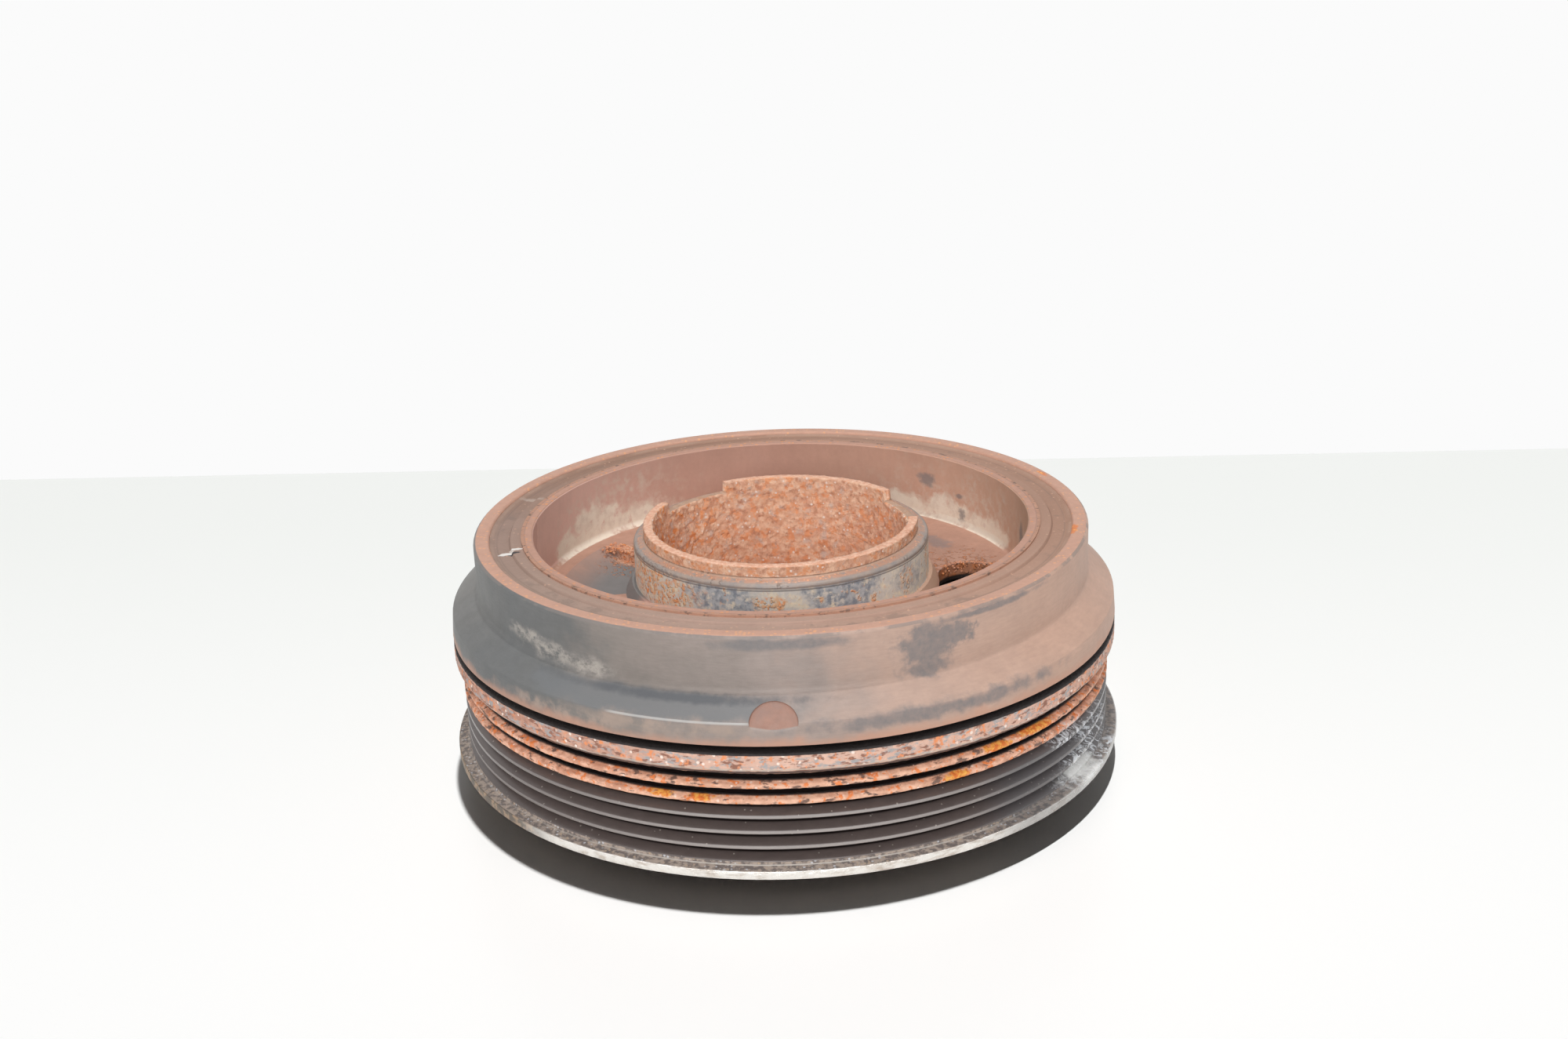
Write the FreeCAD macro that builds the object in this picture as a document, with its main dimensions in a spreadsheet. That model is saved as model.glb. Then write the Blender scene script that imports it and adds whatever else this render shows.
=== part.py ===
import FreeCAD, Part
import math
import os

import Sketcher

# Crankshaft pulley with a torsional vibration damper.
# Turned and pressed steel, lying on its hub foot. Millimetres.
# The origin is on the crank axis at the foot of the hub, where it stands, and +Z runs up the axis.
# Radii are from the axis, heights from the foot, azimuths in degrees from +X towards +Y.

# Driving sizes: one value for each size that can be set by itself.
SIZES = {
    # How far a cut runs past what it cuts
    "cut_spare": 1.0,
    # Belt rim
    "stand_off": 7.5,
    "flange_height": 2.7,
    "flange_edge": 1.85,
    "flange_slope": 0.35,
    "crest_radius": 78.2,
    "crest_land": 0.75,
    "groove_pitch": 3.56,
    "groove_count": 6,
    "groove_opening": 2.7,
    "groove_depth": 3.0,
    "groove_half_angle": 20,
    "rim_taper": 1.5,
    "rim_step": 1.6,
    "rim_band": 3.6,
    "rim_chamfer": 0.5,
    "rim_wall": 4.8,
    "web_recess": 2.0,
    "web_thickness": 5.0,
    "web_fillet": 3.0,
    "boss_wall": 5.0,
    "boss_rise": 6.0,
    # Hub
    "pilot_radius": 11.0,
    "bolt_circle": 43.0,
    "bolt_count": 6,
    "bolt_hole_radius": 5.25,
    "plate_thickness": 12.0,
    "bore_radius": 30.8,
    "bore_fillet": 2.0,
    "foot_wall": 3.0,
    "foot_chamfer": 0.8,
    "tube_radius": 35.5,
    "tube_step": 1.0,
    "shoulder_height": 55.5,
    "shoulder_slope": 0.9,
    "shoulder_round": 0.8,
    "collar_radius": 32.9,
    "collar_height": 59.2,
    "collar_chamfer": 0.3,
    "notch_angle": 37.5,
    "notch_azimuth": -4.5,
    "notch_spacing": 120.5,
    # Carrier cup
    "floor_height": 42.5,
    "floor_thickness": 4.0,
    "neck_wall": 0.9,
    "neck_rise": 3.1,
    "neck_foot": 2.5,
    "drum_radius": 59.2,
    "drum_wall": 2.1,
    "drum_round": 3.0,
    "drum_fillet": 1.5,
    "window_inner": 38.0,
    "window_width": 16.0,
    "window_angle": 29.0,
    "window_azimuth": -118.0,
    "window_count": 3,
    "recess_azimuth": 147.0,
    "recess_angle": 39.0,
    "recess_depth": 3.4,
    "recess_reach": 17.0,
    "recess_shelf": 11.0,
    "recess_shelf_depth": 2.7,
    "recess_wall": 3.0,
    "recess_end_wall": 4.0,
    "recess_side_wall": 2.0,
    # Damper
    "sleeve_wall": 0.7,
    "ring_bore": 69.4,
    "ring_radius": 73.2,
    "ring_gap": 1.65,
    "ring_rise": 21.65,
    "ring_chamfer": 0.6,
    "ring_lip": 0.4,
    "cone_rise": 4.4,
    "cone_fillet": 1.8,
    "cone_radius": 79.4,
    "base_radius": 79.8,
    "base_band": 5.1,
    "skirt_gap": 1.6,
    "skirt_wall": 6.8,
    "skirt_step": 1.5,
    "skirt_floor_gap": 2.7,
    "rubber_inner_drop": 0.5,
    "rubber_step_reach": 2.5,
    "rubber_step_slope": 0.4,
    "rubber_step_drop": 0.6,
    "rubber_edge_drop": 0.6,
    "rubber_edge_reach": 1.3,
    "rubber_base_gap": 1.0,
    "balance_azimuth": -92.0,
    "balance_radius": 5.05,
    "balance_tilt": 50,
    "balance_height": 5.4,
    "balance_depth": 1.1,
    "balance_point_angle": 6,
}

# Worked-out sizes: what seats on, fits into or lines up with another piece.
WORKED_OUT = {
    "flange_radius": "crest_radius + flange_height",
    "flange_top": "stand_off + flange_edge",
    "land_start": "flange_top + flange_slope",
    "groove_start": "land_start + crest_land",
    "groove_middle": "groove_start + groove_opening / 2",
    "groove_run": "groove_pitch * (groove_count - 1)",
    "groove_end": "groove_middle + groove_run + groove_opening / 2",
    "groove_root": "crest_radius - groove_depth",
    "root_half": "groove_opening / 2 - groove_depth * tan(groove_half_angle * 1 deg)",
    "root_low": "groove_middle - root_half",
    "root_high": "groove_middle + root_half",
    "cutter_radius": "crest_radius + rim_taper",
    "cutter_half": "groove_opening / 2 + rim_taper * tan(groove_half_angle * 1 deg)",
    "cutter_low": "groove_middle - cutter_half",
    "cutter_high": "groove_middle + cutter_half",
    "rim_radius": "crest_radius + rim_taper",
    "rim_shoulder": "groove_end + rim_step",
    "rim_top": "rim_shoulder + rim_band",
    "rim_bore": "crest_radius - rim_wall",
    "web_low": "stand_off + web_recess",
    "web_high": "web_low + web_thickness",
    "web_edge": "rim_bore - web_recess",
    "step_radius": "tube_radius + tube_step",
    "boss_radius": "step_radius + boss_wall",
    "boss_top": "web_high + boss_rise",
    "foot_radius": "step_radius + foot_wall",
    "bolt_offset": "bolt_circle / 2",
    "shoulder_foot": "shoulder_height + shoulder_slope",
    "notch_inner": "bore_radius - cut_spare",
    "notch_outer": "collar_radius + cut_spare",
    "notch_top": "collar_height + cut_spare",
    "floor_low": "floor_height - floor_thickness",
    "neck_radius": "tube_radius + neck_wall",
    "neck_spread": "tube_radius + neck_foot",
    "neck_top": "floor_height + neck_rise",
    "drum_outer": "drum_radius + drum_wall",
    "ring_base": "rim_top + ring_gap",
    "ring_top": "ring_base + ring_rise",
    "window_outer": "window_inner + window_width",
    "window_middle": "window_inner + window_width / 2",
    "window_half": "window_width / 2",
    "window_end": "window_azimuth + window_angle",
    "window_above": "neck_top + cut_spare",
    "window_below": "floor_low - cut_spare",
    "recess_outer": "window_inner + recess_reach",
    "recess_shelf_radius": "window_inner + recess_shelf",
    "recess_low": "floor_height - recess_depth",
    "recess_shelf_height": "floor_height - recess_shelf_depth",
    "pan_low": "recess_low - recess_wall",
    "pan_azimuth": "recess_azimuth - recess_end_wall",
    "pan_angle": "recess_angle + recess_end_wall * 2",
    "pan_outer": "recess_outer + recess_side_wall",
    "sleeve_radius": "drum_outer + sleeve_wall",
    "sleeve_low": "floor_low + drum_round",
    "base_top": "ring_base + base_band",
    "cone_top": "base_top + cone_rise",
    "skirt_radius": "rim_bore - skirt_gap",
    "skirt_bore": "skirt_radius - skirt_wall",
    "skirt_low": "web_high + skirt_floor_gap",
    "skirt_high": "ring_base + skirt_step",
    "rubber_low": "skirt_high + rubber_base_gap",
    "rubber_inner_top": "ring_top - rubber_inner_drop",
    "rubber_step_radius": "sleeve_radius + rubber_step_reach",
    "rubber_step_out": "rubber_step_radius + rubber_step_slope",
    "rubber_outer_top": "rubber_inner_top - rubber_step_drop",
    "rubber_rise_radius": "ring_bore - rubber_edge_reach",
    "rubber_edge_top": "ring_top - rubber_edge_drop",
    "balance_centre": "ring_base + balance_height",
    "balance_reach": "balance_radius * 2",
}

doc = FreeCAD.newDocument("crankshaft_pulley")
sheet = doc.addObject("Spreadsheet::Sheet", "sizes")


def fill_sheet():
    """Write the driving sizes as plain numbers and the worked-out ones as formulas."""
    row = 0
    for table, mark in ((SIZES, ""), (WORKED_OUT, "=")):
        for alias, content in table.items():
            row += 1
            sheet.set("A%d" % row, alias)
            sheet.set("B%d" % row, mark + str(content))
            sheet.setAlias("B%d" % row, alias)
    doc.recompute()


def size(alias):
    """The number now in the cell of this name."""
    cell = getattr(sheet, alias)
    return float(getattr(cell, "Value", cell))


def new_body(name):
    """An empty body whose label names its file."""
    body = doc.addObject("PartDesign::Body", name)
    body.Label = name
    return body


def origin_feature(body, role):
    """A plane or an axis of the body's own origin."""
    for feature in body.Origin.OriginFeatures:
        if feature.Role == role:
            return feature
    raise RuntimeError("no " + role)


def new_sketch(body, name, role):
    """A sketch lying on one of the body's own origin planes."""
    sketch = body.newObject("Sketcher::SketchObject", name)
    sketch.AttachmentSupport = [(origin_feature(body, role), "")]
    sketch.MapMode = "FlatFace"
    return sketch


def turn_sketch(sketch, axis, alias):
    """Turn a sketch about one of its own directions by the angle in a cell."""
    sketch.AttachmentOffset = FreeCAD.Placement(
        FreeCAD.Vector(), FreeCAD.Rotation(axis, size(alias)))
    sketch.setExpression("AttachmentOffset.Rotation.Angle", "sizes.%s * 1 deg" % alias)


def hold_point(sketch, line, end, across, up):
    """Hold one point of a line at the distances in two cells, or at nought."""
    for kind, alias in (("DistanceX", across), ("DistanceY", up)):
        distance = size(alias) if alias else 0.0
        number = sketch.addConstraint(
            Sketcher.Constraint(kind, -1, 1, line, end, distance))
        if alias:
            sketch.setExpression("Constraints[%d]" % number, "sizes." + alias)


def outline(sketch, corners):
    """Draw a closed outline through corners that are pairs of cell names."""
    places = []
    for across, up in corners:
        x = size(across) if across else 0.0
        y = size(up) if up else 0.0
        places.append(FreeCAD.Vector(x, y, 0))
    count = len(places)
    for index in range(count):
        sketch.addGeometry(
            Part.LineSegment(places[index], places[(index + 1) % count]), False)
    for index in range(count):
        sketch.addConstraint(
            Sketcher.Constraint("Coincident", index, 2, (index + 1) % count, 1))
    for index, (across, up) in enumerate(corners):
        hold_point(sketch, index, 1, across, up)


def circle(sketch, centre_alias, radius_alias):
    """Draw a circle on the sketch's horizontal axis."""
    centre = FreeCAD.Vector(size(centre_alias), 0, 0)
    sketch.addGeometry(Part.Circle(centre, FreeCAD.Vector(0, 0, 1), size(radius_alias)), False)
    sketch.addConstraint(Sketcher.Constraint("PointOnObject", 0, 3, -1))
    number = sketch.addConstraint(
        Sketcher.Constraint("DistanceX", -1, 1, 0, 3, size(centre_alias)))
    sketch.setExpression("Constraints[%d]" % number, "sizes." + centre_alias)
    number = sketch.addConstraint(Sketcher.Constraint("Radius", 0, size(radius_alias)))
    sketch.setExpression("Constraints[%d]" % number, "sizes." + radius_alias)


def turned(body, name, corners):
    """A solid of revolution about the crank axis."""
    sketch = new_sketch(body, name + "_profile", "XZ_Plane")
    outline(sketch, corners)
    revolution = body.newObject("PartDesign::Revolution", name)
    revolution.Profile = sketch
    revolution.ReferenceAxis = (sketch, ["V_Axis"])
    revolution.Angle = 360
    sketch.Visibility = False
    doc.recompute()
    return revolution


def swept(body, kind, name, corners, azimuth, angle):
    """Add or cut a sector of a turned form, from an azimuth through an angle."""
    sketch = new_sketch(body, name + "_profile", "XZ_Plane")
    turn_sketch(sketch, FreeCAD.Vector(0, 1, 0), azimuth)
    outline(sketch, corners)
    feature = body.newObject(kind, name)
    feature.Profile = sketch
    feature.ReferenceAxis = (sketch, ["V_Axis"])
    feature.setExpression("Angle", "sizes.%s * 1 deg" % angle)
    doc.recompute()
    return feature


def drilled(body, name, centre_alias, radius_alias, azimuth=None):
    """A round hole along the axis, cut upwards from the foot plane through everything."""
    sketch = new_sketch(body, name + "_circle", "XY_Plane")
    if azimuth:
        turn_sketch(sketch, FreeCAD.Vector(0, 0, 1), azimuth)
    circle(sketch, centre_alias, radius_alias)
    pocket = body.newObject("PartDesign::Pocket", name)
    pocket.Profile = sketch
    pocket.Type = 1
    pocket.Reversed = True
    doc.recompute()
    return pocket


def around(body, name, originals, angle, count):
    """Repeat features about the crank axis. Angle and count are expressions."""
    pattern = body.newObject("PartDesign::PolarPattern", name)
    pattern.Originals = originals
    pattern.Axis = (origin_feature(body, "Z_Axis"), [""])
    pattern.setExpression("Angle", angle)
    pattern.setExpression("Occurrences", count)
    body.Tip = pattern
    doc.recompute()
    return pattern


def edges_at(shape, places):
    """Names of the round edges at the given pairs of radius and height."""
    names = []
    for radius, height in places:
        before = len(names)
        for index, edge in enumerate(shape.Edges, 1):
            curve = edge.Curve
            if not isinstance(curve, Part.Circle):
                continue
            on_axis = math.hypot(curve.Center.x, curve.Center.y) < 1e-4
            same_radius = abs(curve.Radius - size(radius)) < 1e-4
            same_height = abs(curve.Center.z - (size(height) if height else 0)) < 1e-4
            if on_axis and same_radius and same_height:
                names.append("Edge%d" % index)
        if len(names) == before:
            raise RuntimeError("no edge at %s, %s" % (radius, height))
    return names


def dressed(body, kind, name, amount, places):
    """Round or chamfer the edges at pairs of radius and height by the size in a cell."""
    base = body.Tip
    feature = body.newObject(kind, name)
    feature.Base = (base, edges_at(base.Shape, places))
    feature.setExpression("Radius" if kind.endswith("Fillet") else "Size", "sizes." + amount)
    body.Tip = feature
    doc.recompute()
    return feature


def rounded(body, name, amount, places):
    return dressed(body, "PartDesign::Fillet", name, amount, places)


def chamfered(body, name, amount, places):
    return dressed(body, "PartDesign::Chamfer", name, amount, places)


def make_hub():
    """Turned steel hub: bolting plate, foot, centre tube and notched collar."""
    body = new_body("hub")
    turned(body, "hub_turning", [
        ("pilot_radius", None),
        ("foot_radius", None),
        ("foot_radius", "web_low"),
        ("step_radius", "web_low"),
        ("step_radius", "floor_low"),
        ("tube_radius", "floor_low"),
        ("tube_radius", "shoulder_height"),
        ("collar_radius", "shoulder_foot"),
        ("collar_radius", "collar_height"),
        ("bore_radius", "collar_height"),
        ("bore_radius", "plate_thickness"),
        ("pilot_radius", "plate_thickness"),
    ])
    rounded(body, "hub_shoulder_rounds", "shoulder_round", [
        ("tube_radius", "shoulder_height"),
        ("collar_radius", "shoulder_foot"),
    ])
    rounded(body, "hub_bore_fillet", "bore_fillet", [("bore_radius", "plate_thickness")])
    chamfered(body, "hub_foot_chamfers", "foot_chamfer", [
        ("foot_radius", None),
        ("pilot_radius", None),
        ("pilot_radius", "plate_thickness"),
    ])
    chamfered(body, "hub_collar_chamfers", "collar_chamfer", [
        ("collar_radius", "collar_height"),
        ("bore_radius", "collar_height"),
    ])
    notch = swept(body, "PartDesign::Groove", "hub_notch", [
        ("notch_inner", "shoulder_foot"),
        ("notch_outer", "shoulder_foot"),
        ("notch_outer", "notch_top"),
        ("notch_inner", "notch_top"),
    ], "notch_azimuth", "notch_angle")
    around(body, "hub_notches", [notch], "sizes.notch_spacing * 1 deg", "2")
    hole = drilled(body, "hub_bolt_hole", "bolt_offset", "bolt_hole_radius")
    around(body, "hub_bolt_holes", [hole], "360 deg", "sizes.bolt_count")
    return body


def make_carrier_cup():
    """Cup between the hub and the damper: web with windows, neck and drum wall."""
    body = new_body("carrier_cup")
    turned(body, "cup_turning", [
        ("tube_radius", "floor_low"),
        ("drum_outer", "floor_low"),
        ("drum_outer", "ring_top"),
        ("drum_radius", "ring_top"),
        ("drum_radius", "floor_height"),
        ("neck_spread", "floor_height"),
        ("neck_radius", "neck_top"),
        ("tube_radius", "neck_top"),
    ])
    rounded(body, "cup_outer_round", "drum_round", [("drum_outer", "floor_low")])
    rounded(body, "cup_inner_fillet", "drum_fillet", [("drum_radius", "floor_height")])
    chamfered(body, "cup_rim_chamfer", "collar_chamfer", [("drum_radius", "ring_top")])
    swept(body, "PartDesign::Revolution", "cup_recess_pan", [
        ("step_radius", "pan_low"),
        ("recess_shelf_radius", "pan_low"),
        ("pan_outer", "floor_low"),
        ("pan_outer", "floor_height"),
        ("step_radius", "floor_height"),
    ], "pan_azimuth", "pan_angle")
    swept(body, "PartDesign::Groove", "cup_recess", [
        ("window_inner", "recess_low"),
        ("recess_shelf_radius", "recess_shelf_height"),
        ("recess_outer", "floor_height"),
        ("recess_outer", "window_above"),
        ("window_inner", "window_above"),
    ], "recess_azimuth", "recess_angle")
    arc = swept(body, "PartDesign::Groove", "cup_window", [
        ("window_inner", "window_below"),
        ("window_outer", "window_below"),
        ("window_outer", "window_above"),
        ("window_inner", "window_above"),
    ], "window_azimuth", "window_angle")
    first_end = drilled(body, "cup_window_end", "window_middle", "window_half", "window_azimuth")
    last_end = drilled(body, "cup_window_far_end", "window_middle", "window_half", "window_end")
    around(body, "cup_windows", [arc, first_end, last_end],
           "90 deg * (sizes.window_count - 1)", "sizes.window_count")
    return body


def make_damper_sleeve():
    """Thin steel sleeve pressed over the drum, which carries the rubber."""
    body = new_body("damper_sleeve")
    turned(body, "sleeve_turning", [
        ("drum_outer", "sleeve_low"),
        ("sleeve_radius", "sleeve_low"),
        ("sleeve_radius", "ring_top"),
        ("drum_outer", "ring_top"),
    ])
    return body


def make_damper_rubber():
    """Rubber ring bonded between the sleeve and the inertia ring."""
    body = new_body("damper_rubber")
    turned(body, "rubber_turning", [
        ("sleeve_radius", "rubber_low"),
        ("ring_bore", "rubber_low"),
        ("ring_bore", "rubber_edge_top"),
        ("rubber_rise_radius", "rubber_outer_top"),
        ("rubber_step_out", "rubber_outer_top"),
        ("rubber_step_radius", "rubber_inner_top"),
        ("sleeve_radius", "rubber_inner_top"),
    ])
    return body


def make_inertia_ring():
    """Heavy cast ring with a flared base, a hidden skirt and one balance drilling."""
    body = new_body("inertia_ring")
    turned(body, "ring_turning", [
        ("skirt_bore", "skirt_low"),
        ("skirt_radius", "skirt_low"),
        ("skirt_radius", "ring_base"),
        ("base_radius", "ring_base"),
        ("cone_radius", "base_top"),
        ("ring_radius", "cone_top"),
        ("ring_radius", "ring_top"),
        ("ring_bore", "ring_top"),
        ("ring_bore", "skirt_high"),
        ("skirt_bore", "skirt_high"),
    ])
    rounded(body, "ring_cone_fillet", "cone_fillet", [("ring_radius", "cone_top")])
    chamfered(body, "ring_top_chamfer", "ring_chamfer", [("ring_radius", "ring_top")])
    chamfered(body, "ring_lip_chamfer", "ring_lip", [("ring_bore", "ring_top")])
    drilling_profile = new_sketch(body, "balance_profile", "XZ_Plane")
    drilling_profile.AttachmentOffset = FreeCAD.Placement(
        FreeCAD.Vector(size("cone_radius"), size("balance_centre"), 0),
        FreeCAD.Rotation(FreeCAD.Vector(0, 0, 1), size("balance_tilt") - 90))
    drilling_profile.setExpression("AttachmentOffset.Base.x", "sizes.cone_radius")
    drilling_profile.setExpression("AttachmentOffset.Base.y", "sizes.balance_centre")
    full = size("balance_depth")
    tip = full + size("balance_radius") * math.tan(math.radians(size("balance_point_angle")))
    corners = [
        FreeCAD.Vector(0, -tip, 0),
        FreeCAD.Vector(size("balance_radius"), -full, 0),
        FreeCAD.Vector(size("balance_radius"), size("balance_reach"), 0),
        FreeCAD.Vector(0, size("balance_reach"), 0),
    ]
    for index in range(4):
        drilling_profile.addGeometry(
            Part.LineSegment(corners[index], corners[(index + 1) % 4]), False)
    drilling = body.newObject("PartDesign::Groove", "ring_balance_drilling")
    drilling.Profile = drilling_profile
    drilling.ReferenceAxis = (drilling_profile, ["V_Axis"])
    drilling.Angle = 360
    doc.recompute()
    body.Placement = FreeCAD.Placement(
        FreeCAD.Vector(), FreeCAD.Rotation(FreeCAD.Vector(0, 0, 1), size("balance_azimuth")))
    body.setExpression("Placement.Rotation.Angle", "sizes.balance_azimuth * 1 deg")
    return body


def make_belt_pulley():
    """Belt rim with six V-grooves, carried by a web that is pressed onto the hub."""
    body = new_body("belt_pulley")
    turned(body, "pulley_turning", [
        ("step_radius", "web_low"),
        ("web_edge", "web_low"),
        ("rim_bore", "stand_off"),
        ("flange_radius", "stand_off"),
        ("flange_radius", "flange_top"),
        ("crest_radius", "land_start"),
        ("crest_radius", "groove_end"),
        ("rim_radius", "rim_shoulder"),
        ("rim_radius", "rim_top"),
        ("rim_bore", "rim_top"),
        ("rim_bore", "web_high"),
        ("boss_radius", "web_high"),
        ("boss_radius", "boss_top"),
        ("step_radius", "boss_top"),
    ])
    rounded(body, "pulley_web_fillets", "web_fillet", [
        ("rim_bore", "web_high"),
        ("boss_radius", "web_high"),
    ])
    chamfered(body, "pulley_rim_chamfers", "rim_chamfer", [
        ("rim_radius", "rim_top"),
        ("rim_bore", "rim_top"),
        ("boss_radius", "boss_top"),
    ])
    vee_profile = new_sketch(body, "vee_profile", "XZ_Plane")
    outline(vee_profile, [
        ("groove_root", "root_low"),
        ("cutter_radius", "cutter_low"),
        ("cutter_radius", "cutter_high"),
        ("groove_root", "root_high"),
    ])
    vee = body.newObject("PartDesign::Groove", "pulley_vee")
    vee.Profile = vee_profile
    vee.ReferenceAxis = (vee_profile, ["V_Axis"])
    vee.Angle = 360
    doc.recompute()
    vees = body.newObject("PartDesign::LinearPattern", "pulley_vees")
    vees.Originals = [vee]
    vees.Direction = (origin_feature(body, "Z_Axis"), [""])
    vees.setExpression("Length", "sizes.groove_run * 1 mm")
    vees.setExpression("Occurrences", "sizes.groove_count")
    body.Tip = vees
    doc.recompute()
    return body


def check_and_write(bodies):
    """Stop on any failed object or bad shape, then write one file for each body."""
    doc.recompute()
    for item in doc.Objects:
        if "Invalid" in item.State or "Error" in item.State:
            raise RuntimeError("failed: %s %s" % (item.Name, item.State))
    for body in bodies:
        shape = body.Shape
        if shape.isNull() or not shape.isValid() or len(shape.Solids) != 1:
            raise RuntimeError("bad shape: " + body.Label)
    os.makedirs("parts", exist_ok=True)
    for body in bodies:
        body.Shape.exportStep("parts/%s.step" % body.Label)
        box = body.Shape.BoundBox
        print("%-14s %9.0f mm3  z %.2f to %.2f  faces %d"
              % (body.Label, body.Shape.Volume, box.ZMin, box.ZMax, len(body.Shape.Faces)))


fill_sheet()
check_and_write([
    make_hub(),
    make_carrier_cup(),
    make_damper_sleeve(),
    make_damper_rubber(),
    make_inertia_ring(),
    make_belt_pulley(),
])
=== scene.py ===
# %% [markdown]
# # A worn crankshaft pulley on a white bench
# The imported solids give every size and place, and this lesson dresses them. The camera comes first,
# then rounded copies of the turned pieces and the rust that stands up from them, then a finish for
# each piece of metal and rubber, and last the bench and the lamps. The axis of the crank is Z, the
# pulley stands on its foot at Z = 0, and -Y faces the camera.

# %% Load the fixed model
import math
import random

import bpy
from mathutils import Matrix, Vector


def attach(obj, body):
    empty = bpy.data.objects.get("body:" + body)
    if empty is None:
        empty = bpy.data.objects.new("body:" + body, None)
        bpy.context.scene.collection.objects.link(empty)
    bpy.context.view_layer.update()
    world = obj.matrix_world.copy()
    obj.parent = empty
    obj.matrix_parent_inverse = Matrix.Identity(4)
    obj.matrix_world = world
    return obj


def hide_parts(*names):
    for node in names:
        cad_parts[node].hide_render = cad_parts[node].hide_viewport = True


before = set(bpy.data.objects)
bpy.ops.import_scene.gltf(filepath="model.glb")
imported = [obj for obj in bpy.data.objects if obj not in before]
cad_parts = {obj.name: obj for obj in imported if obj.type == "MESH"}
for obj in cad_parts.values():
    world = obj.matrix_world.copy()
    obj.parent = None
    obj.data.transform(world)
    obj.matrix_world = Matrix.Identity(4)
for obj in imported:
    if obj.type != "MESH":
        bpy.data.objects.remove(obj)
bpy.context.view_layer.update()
MM = 0.001
print("nodes:", ", ".join(sorted(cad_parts)))

# %% [markdown]
# The photograph was taken from a little above the bench with a short telephoto view. The place of
# the camera was found by fitting the circles of the pulley, so the lens is given as a focal length
# on a 36 mm wide sensor, and the slight roll is kept.

# %% Camera
FOCAL_LENGTH = 43.05
SENSOR_WIDTH = 36.0
CAMERA_PLACE = Vector((0.89, -425.05, 209.81)) * MM
LOOK_DOWN = math.radians(19.58)
ROLL = math.radians(-2.09)

camera_data = bpy.data.cameras.new("photo_camera")
camera_data.sensor_width = SENSOR_WIDTH
camera_data.lens = FOCAL_LENGTH
camera_data.clip_start = 0.01
camera = bpy.data.objects.new("photo_camera", camera_data)
bpy.context.scene.collection.objects.link(camera)
ahead = Vector((0, math.cos(LOOK_DOWN), -math.sin(LOOK_DOWN)))
above = Vector((0, math.sin(LOOK_DOWN), math.cos(LOOK_DOWN)))
across = Vector((1, 0, 0))
right = across * math.cos(ROLL) + above * math.sin(ROLL)
up = above * math.cos(ROLL) - across * math.sin(ROLL)
turn = Matrix((right, up, -ahead)).transposed().to_4x4()
camera.matrix_world = Matrix.Translation(CAMERA_PLACE) @ turn
bpy.context.scene.camera = camera
print("camera at", [round(v, 3) for v in camera.location])

# %% [markdown]
# Everything about a finish is worked out from the place of a point on the pulley. Because all
# pieces are round about one axis, three numbers say where a point is: its distance from the axis,
# its height, and its azimuth. The small class below adds shader nodes one by one and gives back
# their outputs, so that a finish reads like a recipe: a first coat, and colours laid over it where
# masks say. Colours are written as they look on screen.

# %% A recipe book for finishes
def tone(red, green, blue):
    """A colour written as it looks on screen, from 0 to 255, made linear."""
    parts = []
    for level in (red, green, blue):
        share = level / 255
        parts.append(share / 12.92 if share <= 0.04045 else ((share + 0.055) / 1.055) ** 2.4)
    return (*parts, 1.0)


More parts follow.
